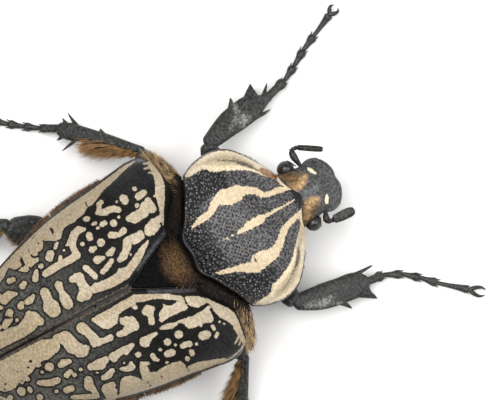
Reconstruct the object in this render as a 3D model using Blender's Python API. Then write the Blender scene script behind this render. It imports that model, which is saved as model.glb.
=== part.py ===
"""A female goliath beetle, life size, standing still as a museum model shows it.

Lengths below are millimetres in the beetle's own plan: f runs forward from the tip of the
scutellum, out runs sideways from the midline, z runs up from the floor. The head faces -Y,
and +X is the beetle's left side.
"""

import math

import bmesh
import bpy
import numpy as np

MM = 0.001
GAP = 0.3
MOST_SPREAD = 1.6
INWARD_LEAN = -0.2
CENTRE_F = 2.17
LEFT, RIGHT = 1, -1
SIDES = {"left": LEFT, "right": RIGHT}

# Wing cases: (f, value) knots of the outer margin, the crest line and the margin's height.
MARGIN_OUT = ((-29.6, 1.3), (-29.0, 3.2), (-27.2, 6.2), (-24.0, 9.2), (-20.0, 11.6), (-15.5, 13.5),
              (-12.0, 14.6), (-8.0, 15.7), (-3.0, 16.6), (2.0, 17.2), (6.0, 17.8), (9.0, 18.1),
              (11.0, 17.7), (12.1, 16.8))
CREST_Z = ((-29.6, 11.9), (-27.0, 14.4), (-23.0, 18.4), (-18.0, 21.9), (-12.0, 24.2), (-5.0, 25.0),
           (3.0, 24.6), (8.0, 23.6), (13.0, 22.0))
MARGIN_Z = ((-29.6, 11.3), (-20.0, 10.8), (-10.0, 10.6), (0.0, 11.2), (8.0, 12.2), (13.0, 13.0))
FRONT_F = ((5.1, 9.6), (6.2, 9.95), (7.1, 10.5), (8.2, 11.3), (9.4, 12.2), (10.8, 12.9), (12.2, 13.1),
           (14.0, 12.9), (15.6, 12.6), (16.8, 12.1))
DOME_POWER = 2.5
SHELL = 1.2
SUTURE = 0.15
BASE_ROLL, BASE_ROLL_LENGTH = 1.8, 3.0
LEAST_RISE = 0.25
UNDER_SHELL = SHELL + 0.55
CASE_ROWS, CASE_COLUMNS = 20, 12

# Scutellum: its half width at the base; it narrows to the tip at f = 0.5.
SCUTELLUM_HALF, SCUTELLUM_BASE_F, SCUTELLUM_TIP_F = 4.8, 9.9, 0.5
SCUTELLUM_EDGE_POWER = 0.95
SCUTELLUM_FALL, SCUTELLUM_FALL_F, SCUTELLUM_FALL_POWER = 2.2, 7.0, 1.6
SCUTELLUM_SUNK, SCUTELLUM_LAG = 0.1, 1.0

# Pronotum: rear edge, front edge and side outline in plan, then heights along it.
PRO_REAR = ((0.0, 11.0), (3.4, 11.0), (4.9, 12.2), (6.9, 13.4), (9.0, 14.6), (11.2, 15.5), (11.9, 15.8))
PRO_FRONT = ((0.0, 31.1), (1.6, 30.2), (3.4, 29.4), (5.2, 29.0))
PRO_SIDE = ((15.8, 11.9), (17.6, 12.8), (19.7, 13.3), (21.6, 13.3), (23.0, 12.9), (24.5, 12.0),
            (25.7, 10.7), (26.8, 9.2), (27.8, 7.6), (28.6, 6.2), (29.0, 5.2))
PRO_TOP = ((11.0, 21.2), (14.0, 22.9), (18.0, 23.6), (22.0, 23.0), (26.0, 20.6), (29.0, 17.7), (31.1, 15.9))
PRO_RIM = ((15.8, 14.2), (20.0, 13.4), (25.0, 12.6), (29.4, 12.0))
PRO_BOTTOM = ((11.0, 6.0), (15.0, 4.8), (20.0, 4.2), (25.0, 5.2), (29.0, 7.2), (31.1, 8.4))
PRO_RIM_THICK = 0.7
PRO_DOME_POWER, PRO_BELLY_POWER = 2.1, 1.4

# Head: it sits a little to the beetle's left of the midline.
HEAD_ASIDE = 0.2
NECK_GAP = 0.42
HEAD_FRONT = ((0.0, 37.45), (1.4, 37.6), (2.5, 37.3), (3.4, 36.8), (4.1, 36.2))
HEAD_SIDE = ((29.6, 4.7), (31.2, 4.6), (32.3, 4.3), (33.2, 4.2), (33.9, 4.55), (35.2, 4.6), (36.2, 4.2))
HEAD_TOP = ((29.6, 15.7), (31.5, 15.6), (33.0, 14.8), (35.0, 12.9), (37.6, 11.3))
HEAD_RIM = ((29.6, 12.4), (32.0, 11.6), (34.0, 11.0), (36.0, 10.7), (37.6, 10.8))
HEAD_BOTTOM = ((29.6, 8.2), (32.0, 8.0), (34.0, 8.6), (36.0, 9.4), (37.6, 10.0))
HEAD_RIM_THICK = 0.8
HEAD_DOME_POWER, HEAD_CHIN_POWER = 2.4, 1.8
CHIN_F, CHIN_HALF, CHIN_DEEP = (31.4, 36.2), (2.3, 1.6), 1.1
FEELER = ((33.4, 1.4, 7.3), (35.0, 2.6, 7.0), (35.9, 2.9, 8.2))
FEELER_RADII = (0.4, 0.42, 0.36, 0.42, 0.4, 0.22)
EYE_CENTRE = (30.85, 4.9, 12.4)
EYE_RADII = (1.4, 1.3, 1.75)
POLE_TILT = 0.12

# Antennae: elbow and club, one row for each side because they are held differently.
SCAPE = {"left": ((33.3, 3.6, 11.0), (33.15, 4.9, 11.0), (33.0, 6.2, 11.2), (33.25, 7.1, 11.4)),
         "right": ((33.4, 3.8, 11.0), (33.2, 4.6, 11.0), (32.95, 5.3, 11.1), (33.15, 5.85, 11.4))}
CLUB = {"left": ((34.15, 7.1, 11.7), (37.75, 4.85, 12.3)),
        "right": ((33.9, 5.95, 11.8), (37.6, 6.15, 12.4))}
SCAPE_RADII = (0.3, 0.31, 0.36, 0.46, 0.57, 0.6, 0.54, 0.42, 0.34, 0.34, 0.38)
CLUB_WIDE, CLUB_DEEP = {"left": 0.5, "right": 0.82}, {"left": 0.85, "right": 0.6}
CLUB_SWELL = ((0.0, 0.6), (0.06, 0.8), (0.2, 0.9), (0.45, 1.0), (0.7, 1.0), (0.88, 0.82), (0.97, 0.55),
              (1.0, 0.25))

# Hind body under the wing cases.
MESO_FRONT = ((0.0, 10.6), (3.5, 10.6), (5.0, 11.75), (7.0, 12.95), (9.1, 14.1), (11.3, 15.0),
              (12.4, 15.2), (14.2, 14.8), (15.9, 13.9), (17.2, 12.9))
MESO_REAR_F, META_REAR_F, ABDOMEN_REAR_F = 8.2, -6.0, -26.8
MESO_TOP = ((0.0, 20.0), (6.0, 19.0), (10.0, 17.6), (13.0, 16.2), (16.0, 14.0), (17.2, 12.8))
MESO_HALF = ((8.2, 15.9), (10.8, 16.2), (12.9, 17.2))
BELLY_Z = ((-26.8, 6.4), (-23.0, 5.2), (-18.0, 4.0), (-12.0, 3.4), (-5.0, 3.5), (4.0, 3.8), (9.0, 4.4),
           (13.0, 5.6))
BELLY_POWER = 1.5
LEDGE, LEDGE_THICK, LEDGE_FALL = 0.5, 0.7, 0.2
MESO_SIDE_Z = 10.6
PROW = ((8.6, 1.5, 4.9, 1.3), (11.0, 1.9, 4.2, 0.85), (13.4, 1.6, 3.7, 0.6), (14.8, 1.0, 3.65, 0.45),
        (15.3, 0.4, 3.65, 0.3))
BELLY_SEAMS_F = (-9.6, -13.4, -17.2, -20.6, -23.8)
BELLY_STEP, BELLY_STEP_LENGTH = 0.35, 0.25
SIDE_OUT = ((-26.8, -0.4), (-12.0, -0.3), (-9.0, 0.15), (-6.5, 0.35), (1.0, 0.3), (3.5, 0.0), (8.0, -1.0))
PYGIDIUM_SIDES, PYGIDIUM_POWER = 20, 0.8
PYGIDIUM = ((-27.1, 5.9, 6.4, 10.3), (-28.4, 5.3, 5.9, 10.3), (-29.7, 4.2, 5.8, 10.1), (-30.7, 2.8, 6.3, 9.5),
            (-31.2, 1.3, 7.1, 8.7))

# Legs: coxa root, hip, knee and ankle, then the toe joints in plan and the tip of the claws.
LEGS = {
    "front_left": {"root": (21.4, 2.7, 6.2), "hip": (20.4, 5.6, 3.5), "knee": (21.6, 14.5, 7.2),
                   "ankle": (34.2, 16.9, 2.3), "claws": (50.7, 24.7),
                   "toes": ((37.6, 17.9), (40.1, 19.3), (42.7, 20.9), (45.4, 22.2), (49.2, 24.0))},
    "front_right": {"root": (21.4, 2.7, 6.2), "hip": (20.4, 5.6, 3.5), "knee": (22.1, 14.75, 7.2),
                    "ankle": (34.2, 17.35, 2.3), "claws": (50.3, 28.0),
                    "toes": ((36.9, 17.6), (39.8, 19.0), (42.1, 20.9), (44.2, 23.0), (48.3, 26.4))},
    "middle_left": {"root": (6.4, 2.8, 4.9), "hip": (5.6, 6.9, 2.9), "knee": (11.9, 18.5, 8.2),
                    "ankle": (1.4, 28.3, 2.3), "claws": (-11.4, 37.2),
                    "toes": ((-1.3, 29.8), (-3.5, 31.3), (-5.6, 32.9), (-7.3, 34.3), (-9.9, 36.2))},
    "middle_right": {"root": (6.4, 2.8, 4.9), "hip": (5.6, 6.9, 2.9), "knee": (10.9, 18.6, 8.2),
                     "ankle": (2.7, 30.5, 2.3), "claws": (-9.9, 37.3),
                     "toes": ((0.2, 31.7), (-2.0, 32.9), (-4.1, 34.0), (-5.9, 35.0), (-8.5, 36.4))},
    "hind_left": {"root": (-4.4, 2.6, 4.6), "hip": (-6.9, 7.6, 2.9), "knee": (-13.0, 18.1, 7.6),
                  "ankle": (-27.4, 25.0, 2.3), "claws": (-46.4, 32.2),
                  "toes": ((-31.0, 25.9), (-34.4, 27.1), (-37.6, 28.4), (-40.4, 29.6), (-44.5, 31.3))},
    "hind_right": {"root": (-4.4, 2.6, 4.6), "hip": (-6.9, 7.6, 2.9), "knee": (-13.0, 18.1, 7.6),
                   "ankle": (-27.4, 25.0, 2.3), "claws": (-46.2, 32.6),
                   "toes": ((-30.9, 26.0), (-34.2, 27.3), (-37.4, 28.7), (-40.1, 30.0), (-44.2, 31.7))},
}

# Profiles along a limb: (share of its length, shift outward, half width, half depth).
COXA = {
    "front": ((0.0, 0.0, 1.9, 1.6), (0.3, 0.0, 2.3, 1.8), (0.7, 0.0, 1.9, 1.4), (1.0, 0.0, 1.15, 1.0)),
    "middle": ((0.0, 0.0, 1.7, 1.4), (0.3, 0.0, 2.2, 1.6), (0.7, 0.0, 1.9, 1.4), (1.0, 0.0, 1.15, 1.0)),
    "hind": ((0.0, 0.0, 1.9, 1.3), (0.3, 0.0, 2.4, 1.5), (0.7, 0.0, 2.1, 1.35), (1.0, 0.0, 1.2, 1.0)),
}
FEMUR = {
    "front": ((0.0, 0.0, 1.0, 0.95), (0.2, 0.0, 1.45, 1.1), (0.5, 0.0, 1.8, 1.15), (0.8, 0.0, 1.7, 1.1),
              (1.0, 0.0, 1.15, 0.9)),
    "middle": ((0.0, 0.0, 1.0, 0.95), (0.2, 0.0, 1.4, 1.05), (0.5, 0.0, 1.65, 1.1), (0.8, 0.0, 1.5, 1.05),
               (1.0, 0.0, 0.95, 0.9)),
    "hind": ((0.0, 0.0, 1.1, 0.95), (0.2, 0.1, 1.7, 1.1), (0.5, 0.6, 2.6, 1.15), (0.65, 1.0, 3.0, 1.1),
             (0.78, 0.8, 2.7, 1.1),
             (0.92, 0.25, 1.9, 1.05), (1.0, 0.0, 1.25, 1.0)),
}
TIBIA = {
    "front_left": ((0.0, 0.0, 1.15, 0.75), (0.14, 0.2, 1.55, 0.8), (0.24, 0.35, 1.8, 0.8),
                   (0.37, 0.5, 2.05, 0.75), (0.55, 0.45, 2.2, 0.7), (0.75, 0.37, 1.97, 0.65),
                   (0.84, 0.2, 1.4, 0.62), (0.92, -0.03, 0.85, 0.62), (1.0, 0.0, 0.8, 0.62)),
    "front_right": ((0.0, 0.0, 1.15, 0.75), (0.14, 0.15, 1.6, 0.8), (0.24, 0.25, 1.85, 0.8),
                    (0.37, 0.3, 2.1, 0.75), (0.6, 0.2, 2.15, 0.7), (0.8, 0.0, 2.1, 0.65),
                    (0.89, 0.0, 1.85, 0.62), (0.95, 0.05, 1.35, 0.62), (1.0, 0.0, 0.95, 0.62)),
    "middle": ((0.0, 0.0, 0.7, 0.75), (0.12, 0.1, 0.72, 0.75), (0.4, 0.2, 1.0, 0.85), (0.7, 0.1, 1.28, 0.85),
               (0.87, 0.0, 1.42, 0.85), (0.95, 0.0, 1.15, 0.8), (1.0, 0.0, 0.85, 0.75)),
    "hind": ((0.0, 0.0, 1.05, 0.9), (0.12, 0.0, 1.2, 0.85), (0.4, 0.0, 1.35, 0.9), (0.7, 0.0, 1.4, 0.9),
             (0.93, 0.0, 1.45, 0.9), (1.0, 0.0, 1.0, 0.8)),
}
# Teeth and spurs: (root's share of the tibia, side, length, lean towards the foot, base radius).
TEETH = {
    "front_left": ((0.54, 1, 1.05, 0.8, 0.5), (0.8, 1, 1.5, 1.35, 0.85), (0.94, 1, 1.1, 1.9, 0.4),
                   (0.69, -1, 0.35, 3.0, 0.34)),
    "front_right": ((0.6, 1, 1.2, 1.35, 0.5), (0.88, 1, 1.2, 2.3, 0.85), (0.88, -1, 0.5, 3.3, 0.34)),
    "middle": ((0.5, 1, 0.5, 0.6, 0.42), (0.8, 1, 1.5, 2.2, 0.38), (0.92, 1, 0.6, 0.9, 0.34),
               (0.92, -1, 0.7, 0.8, 0.32), (0.77, -1, 2.2, 1.9, 0.34)),
    "hind": ((0.5, 1, 0.8, 1.3, 0.42), (0.74, 1, 0.7, 1.3, 0.4), (0.9, 1, 0.8, 1.6, 0.36),
             (0.88, -1, 0.8, 3.1, 0.36), (0.92, -1, 0.3, 2.2, 0.32)),
}
ANKLE_RADIUS = 0.62
TOE_Z = (1.15, 0.62, 0.55, 0.55, 0.8)
TOE_BEAD = ((0.07, 0.38), (0.45, 0.5), (0.8, 0.74), (0.96, 0.6))
LAST_TOE = ((0.07, 0.34), (0.4, 0.4), (0.75, 0.56), (0.93, 0.66), (1.0, 0.55))
CLAW_ROOT, CLAW_SPREAD, CLAW_BOW, CLAW_ARCH, CLAW_TIP_Z = 0.15, 0.4, 0.9, 0.75, 0.22
CLAW_RADII = (0.36, 0.35, 0.31, 0.26, 0.2, 0.13, 0.06)
SPIKE_TAPER = ((0.0, 1.0), (0.45, 0.72), (0.8, 0.4), (1.0, 0.12))
SPIKE_SUNK = 0.75

LIMB_SIDES = 10
TOE_SIDES = 8
SPIKE_SIDES = 6


def knots(at, table):
    """A smooth curve through (place, value) knots: cubic, each knot's slope taken from its neighbours."""
    place, value = np.array(table, float).T
    slope = np.gradient(value, place)
    at = np.clip(np.asarray(at, float), place[0], place[-1])
    first = np.clip(np.searchsorted(place, at) - 1, 0, len(place) - 2)
    step = place[first + 1] - place[first]
    t = (at - place[first]) / step
    return ((1 + 2 * t) * (1 - t) ** 2 * value[first] + t * (1 - t) ** 2 * step * slope[first]
            + t * t * (3 - 2 * t) * value[first + 1] + t * t * (t - 1) * step * slope[first + 1])


def arch(share, power):
    """Height of a rounded arch, 1 at the middle and 0 where share of the half width is 1."""
    return (1 - np.clip(np.abs(share), 0, 1) ** power) ** (1 / power)


def clear_scene():
    for obj in list(bpy.data.objects):
        bpy.data.objects.remove(obj, do_unlink=True)


def material(name, colour, roughness, metallic=0.0):
    made = bpy.data.materials.new(name)
    made.use_nodes = True
    shader = made.node_tree.nodes["Principled BSDF"]
    shader.inputs["Base Color"].default_value = (*colour, 1)
    shader.inputs["Roughness"].default_value = roughness
    shader.inputs["Metallic"].default_value = metallic
    return made


def finishes():
    """The few finishes of the body, by name."""
    return {
        "cream_shell": material("cream_shell", (0.60, 0.52, 0.34), 0.5),
        "black_shell": material("black_shell", (0.035, 0.035, 0.042), 0.35),
        "velvet": material("velvet", (0.018, 0.017, 0.018), 0.8),
        "hairy_side": material("hairy_side", (0.16, 0.09, 0.04), 0.85),
        "leg": material("leg", (0.03, 0.032, 0.036), 0.38),
        "eye": material("eye", (0.02, 0.018, 0.02), 0.12),
    }


def placed(points, side=LEFT):
    """Plan points (f, out, z) in millimetres turned into the world's metres."""
    points = np.asarray(points, float)
    return np.stack([side * points[..., 1], CENTRE_F - points[..., 0], points[..., 2]], -1) * MM


def mesh_object(name, points, faces, finish):
    """A named object from world points and faces, with its normals pointing out."""
    mesh = bpy.data.meshes.new(name)
    mesh.from_pydata([tuple(p) for p in points], [], [tuple(int(i) for i in f) for f in faces])
    work = bmesh.new()
    work.from_mesh(mesh)
    bmesh.ops.remove_doubles(work, verts=work.verts, dist=1e-7)
    bmesh.ops.dissolve_degenerate(work, edges=work.edges, dist=1e-7)
    bmesh.ops.triangulate(work, faces=work.faces)
    bmesh.ops.recalc_face_normals(work, faces=work.faces)
    work.to_mesh(mesh)
    work.free()
    mesh.materials.append(finish)
    obj = bpy.data.objects.new(name, mesh)
    bpy.context.scene.collection.objects.link(obj)
    return obj


def shaded(obj, angle=40):
    obj.data.shade_smooth()
    obj.data.set_sharp_from_angle(angle=math.radians(angle))
    return obj


def between(name, upper, lower, finish, side=LEFT):
    """Closed body between two grids of the same shape, triangulated alike, with a wall round the edge."""
    rows, columns = upper.shape[:2]
    count = rows * columns
    index = np.arange(count).reshape(rows, columns)
    a, b, c, d = index[:-1, :-1], index[:-1, 1:], index[1:, 1:], index[1:, :-1]
    sheet = np.concatenate([np.stack([a, b, c], -1).reshape(-1, 3), np.stack([a, c, d], -1).reshape(-1, 3)])
    edge = np.concatenate([index[0, :-1], index[:-1, -1], index[-1, :0:-1], index[:0:-1, 0]])
    after = np.roll(edge, -1)
    wall = np.stack([after, edge, edge + count, after + count], -1)
    points = placed(np.concatenate([upper.reshape(-1, 3), lower.reshape(-1, 3)]), side)
    faces = [*sheet, *(sheet[:, ::-1] + count), *wall]
    return mesh_object(name, points, faces, finish)


def rings_body(name, rings, finish, side=LEFT):
    """Closed tube through rings of points, its ends closed by fans to their middles."""
    rings = np.asarray(rings)
    count, around = rings.shape[:2]
    index = np.arange(count * around).reshape(count, around)
    after = np.roll(index, -1, axis=1)
    skin = np.stack([index[:-1], after[:-1], after[1:], index[1:]], -1).reshape(-1, 4)
    start, end = count * around, count * around + 1
    faces = [*skin, *np.stack([after[0], index[0], np.full(around, start)], -1),
             *np.stack([index[-1], after[-1], np.full(around, end)], -1)]
    middles = np.stack([rings[0].mean(0), rings[-1].mean(0)])
    points = placed(np.concatenate([rings.reshape(-1, 3), middles]), side)
    return mesh_object(name, points, faces, finish)


def unit(vector):
    return vector / np.linalg.norm(vector, axis=-1, keepdims=True)


def frames(path):
    """Direction, level sideways axis and upright axis at each point of a path."""
    along = unit(np.gradient(path, axis=0))
    wide = unit(np.cross(along, (0.0, 0.0, 1.0)))
    return along, wide, unit(np.cross(wide, along))


def tube_rings(path, half_wide, half_deep, sides):
    """Elliptical rings across a path, each with its own half width and half depth."""
    path = np.asarray(path, float)
    along, wide, deep = frames(path)
    turn = np.linspace(0, 2 * np.pi, sides, endpoint=False)[None, :, None]
    half_wide = np.asarray(half_wide, float)[:, None, None]
    half_deep = np.asarray(half_deep, float)[:, None, None]
    return (path[:, None] + wide[:, None] * half_wide * np.cos(turn)
            + deep[:, None] * half_deep * np.sin(turn)), along


def through(points, count):
    """A smooth path of count points through a few chosen ones, evenly spread by their number."""
    points = np.asarray(points, float)
    at = np.linspace(0, len(points) - 1, count)
    return np.stack([knots(at, list(enumerate(axis))) for axis in points.T], -1)


def bow(start, middle, end, count):
    """Points along the quadratic curve that leaves start towards middle and comes in to end from it."""
    t = np.linspace(0, 1, count)[:, None]
    return (1 - t) ** 2 * start + 2 * t * (1 - t) * middle + t * t * end


def mitred(ring, direction, point, normal):
    """The ring slid along its direction onto the plane through point."""
    slide = ((point - ring) @ normal) / (direction @ normal)
    return ring + slide[:, None] * direction


def boolean(obj, others, operation):
    """Joins or cuts obj with other objects, applies the result and removes them."""
    group = bpy.data.collections.new("group")
    bpy.context.scene.collection.children.link(group)
    for other in others:
        bpy.context.scene.collection.objects.unlink(other)
        group.objects.link(other)
    step = obj.modifiers.new("join", "BOOLEAN")
    step.operation = operation
    step.operand_type = "COLLECTION"
    step.collection = group
    step.solver = "EXACT"
    bpy.context.view_layer.update()
    made = bpy.data.meshes.new_from_object(obj.evaluated_get(bpy.context.evaluated_depsgraph_get()))
    obj.modifiers.remove(step)
    obj.data = made
    for other in others:
        bpy.data.objects.remove(other, do_unlink=True)
    bpy.data.collections.remove(group)
    keep_largest(obj)
    return obj


def keep_largest(obj):
    """Keeps the one closed surface with the most faces, and triangulates it."""
    work = bmesh.new()
    work.from_mesh(obj.data)
    bmesh.ops.remove_doubles(work, verts=work.verts, dist=1e-6)
    bmesh.ops.dissolve_degenerate(work, edges=work.edges, dist=1e-6)
    left, groups = set(work.faces), []
    while left:
        stack, group = [left.pop()], []
        while stack:
            face = stack.pop()
            group.append(face)
            for edge in face.edges:
                near = [f for f in edge.link_faces if f in left]
                left.difference_update(near)
                stack.extend(near)
        groups.append(group)
    groups.sort(key=len)
    for group in groups[:-1]:
        bmesh.ops.delete(work, geom=group, context="FACES")
    bmesh.ops.delete(work, geom=[v for v in work.verts if not v.link_faces], context="VERTS")
    bmesh.ops.triangulate(work, faces=work.faces)
    work.to_mesh(obj.data)
    work.free()


def grown(obj, by):
    """A copy of the object with its skin moved out by a distance in millimetres."""
    copy = obj.copy()
    copy.data = obj.data.copy()
    bpy.context.scene.collection.objects.link(copy)
    work = bmesh.new()
    work.from_mesh(copy.data)
    work.normal_update()
    moves = [v.normal * by * MM * min(v.calc_shell_factor(), MOST_SPREAD) for v in work.verts]
    for vertex, move in zip(work.verts, moves):
        vertex.co += move
    work.to_mesh(copy.data)
    work.free()
    return copy


def dome(f, out, inset=0.0):
    """Height of the wing cases' outer surface, or of a surface inset from it, at a plan place."""
    half = knots(f, MARGIN_OUT) - inset
    rim = knots(f, MARGIN_Z)
    rise = np.maximum(knots(f, CREST_Z) - rim - inset, LEAST_RISE * (knots(f, CREST_Z) - rim))
    behind = knots(np.abs(out), FRONT_F) - f
    roll = BASE_ROLL * (1 - np.clip(behind / BASE_ROLL_LENGTH, 0, 1)) ** 2
    return rim + (rise - roll) * arch(out / half, DOME_POWER)


def inner_edge(f):
    """Distance of a wing case's inner edge from the midline: the suture, then beside the scutellum."""
    share = np.clip(f, 0, SCUTELLUM_BASE_F + 0.2) / (SCUTELLUM_BASE_F + 0.2)
    return SUTURE + (SCUTELLUM_HALF + GAP - SUTURE) * share ** SCUTELLUM_EDGE_POWER


def wing_case(name, side, finish):
    """One wing case: an arched shell from its inner edge to the margin, thinner at the tip."""
    spread = np.sin(np.linspace(0, 0.5 * np.pi, CASE_COLUMNS)) ** (2 / DOME_POWER)
    first, last = FRONT_F[0][0], FRONT_F[-1][0]
    front = knots(first + (last - first) * spread, FRONT_F)
    down = 0.5 - 0.5 * np.cos(np.pi * np.linspace(0.0, 1.0, CASE_ROWS))
    tip = MARGIN_OUT[0][0]
    f = front[None] + (tip - front[None]) * down[:, None]
    inner, outer = inner_edge(f), knots(f, MARGIN_OUT)
    thick = np.minimum(SHELL, 0.5 * (outer - inner))
    out = inner + (outer - inner) * spread
    out_under = inner + (outer - thick - inner) * spread
    upper = np.stack([f, out, dome(f, out)], -1)
    lower = np.stack([f, out_under, dome(f, out_under, thick)], -1)
    return shaded(between(name, upper, lower, finish, side), 50)


def scutellum(finish):
    """The black triangle between the wing cases' bases, level with them and as thick."""
    f = np.linspace(SCUTELLUM_BASE_F + 0.4, SCUTELLUM_TIP_F, 9)
    half = np.maximum(inner_edge(f) - 1.2 * GAP, 0.2 * GAP)
    across = np.linspace(-1, 1, 7)
    f, out = np.broadcast_arrays(f[:, None], half[:, None] * across)
    fall = SCUTELLUM_FALL * np.clip((f - SCUTELLUM_FALL_F) / (f.max() - SCUTELLUM_FALL_F), 0, 1) ** SCUTELLUM_FALL_POWER
    top = dome(f - SCUTELLUM_LAG, out) - SCUTELLUM_SUNK - fall
    upper = np.stack([f, out, top], -1)
    lower = np.stack([f, out, top - SHELL], -1)
    return shaded(between("scutellum", upper, lower, finish))


def eased(count, power):
    """Places from -1 to 1, closer together towards both ends."""
    spread = np.sin(np.linspace(-0.5, 0.5, count) * np.pi)
    return np.sign(spread) * np.abs(spread) ** power


def prothorax(finish):
    """Pronotum and the sides under it, ruled between the rear edge and the front edge."""
    share = np.linspace(0, 1, 13)[:, None]
    half = np.full_like(share, PRO_REAR[-1][0])
    for _ in range(12):
        rear, front = knots(half, PRO_REAR), knots(half, PRO_FRONT)
        half = knots(rear + (front - rear) * share, PRO_SIDE)
    out = half * eased(19, 0.95)
    rear, front = knots(np.abs(out), PRO_REAR), knots(np.abs(out), PRO_FRONT)
    f = rear + (front - rear) * share
    reach = np.maximum(knots(f, PRO_SIDE), np.abs(out))
    rim = knots(f, PRO_RIM)
    top = rim + (knots(f, PRO_TOP) - rim) * arch(out / reach, PRO_DOME_POWER)
    under = rim - PRO_RIM_THICK
    low = under - (under - knots(f, PRO_BOTTOM)) * arch(out / reach, PRO_BELLY_POWER)
    upper, lower = np.stack([f, out, top], -1), np.stack([f, out, low], -1)
    return shaded(between("prothorax", upper, lower, finish), 50)


def head(finish):
    """Head capsule and the shield-like face, its rear edge following the pronotum's front edge."""
    share = np.linspace(0, 1, 13)[:, None]
    rear_edge = tuple((out, f + NECK_GAP) for out, f in PRO_FRONT)
    half = np.full_like(share, HEAD_SIDE[0][1])
    for _ in range(12):
        rear, front = knots(half, rear_edge), knots(half, HEAD_FRONT)
        half = knots(rear + (front - rear) * share, HEAD_SIDE)
    out = half * eased(15, 0.9)
    rear, front = knots(np.abs(out), rear_edge), knots(np.abs(out), HEAD_FRONT)
    f = rear + (front - rear) * share
    reach = np.maximum(knots(f, HEAD_SIDE), np.abs(out))
    rim = knots(f, HEAD_RIM)
    top = rim + (knots(f, HEAD_TOP) - rim) * arch(out / reach, HEAD_DOME_POWER)
    under = rim - HEAD_RIM_THICK
    low = under - np.maximum(under - knots(f, HEAD_BOTTOM), 0) * arch(out / reach, HEAD_CHIN_POWER)
    upper = np.stack([f, out + HEAD_ASIDE, top], -1)
    lower = np.stack([f, out + HEAD_ASIDE, low], -1)
    return shaded(between("head", upper, lower, finish), 50)


def egg(name, centre, radii, finish, side=LEFT, grow=0.0):
    """An ellipsoid from a sphere's rings, lying along the body."""
    turn = np.linspace(0, 2 * np.pi, 14, endpoint=False)
    tilt = np.linspace(POLE_TILT, np.pi - POLE_TILT, 9)[:, None]
    axes = np.broadcast_arrays(np.cos(tilt), np.sin(tilt) * np.cos(turn), np.sin(tilt) * np.sin(turn))
    rings = np.asarray(centre) + np.stack(axes, -1) * (np.asarray(radii) + grow)
    return shaded(rings_body(name, rings, finish, side))


def eyes_in(head_node, finish):
    """Sinks a socket for each eye and sets the eye in it."""
    sockets = []
    for name, side in SIDES.items():
        centre = np.array(EYE_CENTRE) + (0.0, side * HEAD_ASIDE, 0.0)
        sockets.append(egg("socket_" + name, centre, EYE_RADII, finish, side, GAP))
        egg("eye_" + name, centre, EYE_RADII, finish, side)
    boolean(head_node, sockets, "DIFFERENCE")


def antenna(name, side, head_node, finish):
    """The first joint and its bulb, then the three leaves of the club closed into one blade."""
    scape = np.array(SCAPE[name]) + (0.0, side * HEAD_ASIDE, 0.0)
    club = np.array(CLUB[name]) + (0.0, side * HEAD_ASIDE, 0.0)
    tip = unit(club[1] - club[0])
    end = club[0] - tip * GAP
    path = through([*scape, end], len(SCAPE_RADII))
    rings, along = tube_rings(path, SCAPE_RADII, SCAPE_RADII, TOE_SIDES)
    rings[-1] = mitred(rings[-1], along[-1], end, tip)
    joint = rings_body("antenna_" + name, rings, finish, side)
    shaded(boolean(joint, [grown(head_node, GAP)], "DIFFERENCE"))
    share, swell = np.array(CLUB_SWELL).T
    rings, _ = tube_rings(club[0] + (club[1] - club[0]) * share[:, None], CLUB_WIDE[name] * swell,
                          CLUB_DEEP[name] * swell, LIMB_SIDES)
    shaded(rings_body("club_" + name, rings, finish, side))


def mouthparts(finish):
    """Chin plate under the head with a jointed feeler each side of it."""
    f = np.linspace(*CHIN_F, 6)[:, None]
    out = np.linspace(-1, 1, 7) * np.interp(f, CHIN_F, CHIN_HALF)
    f, out = np.broadcast_arrays(f, out)
    floor_of_head = knots(f, HEAD_BOTTOM) - GAP - 0.05
    lower = floor_of_head - CHIN_DEEP * arch(out / (CHIN_HALF[0] + GAP), 2.2)
    place = np.array((0.0, HEAD_ASIDE, 0.0))
    chin = between("mouthparts", np.stack([f, out, floor_of_head], -1) + place,
                   np.stack([f, out, lower], -1) + place, finish)
    feelers = []
    for side in SIDES.values():
        path = bow(*(np.array(FEELER) + (0.0, side * HEAD_ASIDE, 0.0)), len(FEELER_RADII))
        rings, _ = tube_rings(path, FEELER_RADII, FEELER_RADII, SPIKE_SIDES)
        feelers.append(rings_body("feeler", rings, finish, side))
    return shaded(boolean(chin, feelers, "UNION"))


def hind_section(f, columns=9):
    """Upper and lower points of the hind body at f: under the wing cases, the ledge beside them, the belly."""
    half = knots(f, MARGIN_OUT)
    spread = np.sin(np.linspace(0, 0.5 * np.pi, columns)) ** (2 / DOME_POWER)
    under = (half - UNDER_SHELL) * spread
    rim = knots(f, MARGIN_Z)
    top_z = dome(f, under, UNDER_SHELL)
    wide = half + knots(f, SIDE_OUT)
    ledge_z = rim - LEDGE
    out = np.concatenate([under, [half - UNDER_SHELL, wide]])
    upper_z = np.concatenate([top_z, [ledge_z, ledge_z - LEDGE_FALL]])
    low_start = ledge_z - LEDGE_FALL - LEDGE_THICK
    low_out = wide * np.sin(np.linspace(0, 0.5 * np.pi, columns + 2))
    low_z = low_start - (low_start - knots(f, BELLY_Z) + belly_step(f)) * arch(low_out / wide, BELLY_POWER)
    upper = np.stack([np.full(columns + 2, f), out, upper_z], -1)
    lower = np.stack([np.full(columns + 2, f), low_out, low_z], -1)
    return mirrored(upper), mirrored(lower)


def belly_step(f):
    """How far each belly ring stands proud: most at its rear edge, where the next one slips under it."""
    edges = (META_REAR_F, *BELLY_SEAMS_F, ABDOMEN_REAR_F)
    for front, rear in zip(edges[:-1], edges[1:]):
        if rear <= f < front:
            return BELLY_STEP * (front - f) / (front - rear)
    return 0.0


def mirrored(half_row):
    """A row from the midline outwards, continued to the other side."""
    other = half_row[:0:-1] * (1, -1, 1)
    return np.concatenate([other, half_row])


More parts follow.
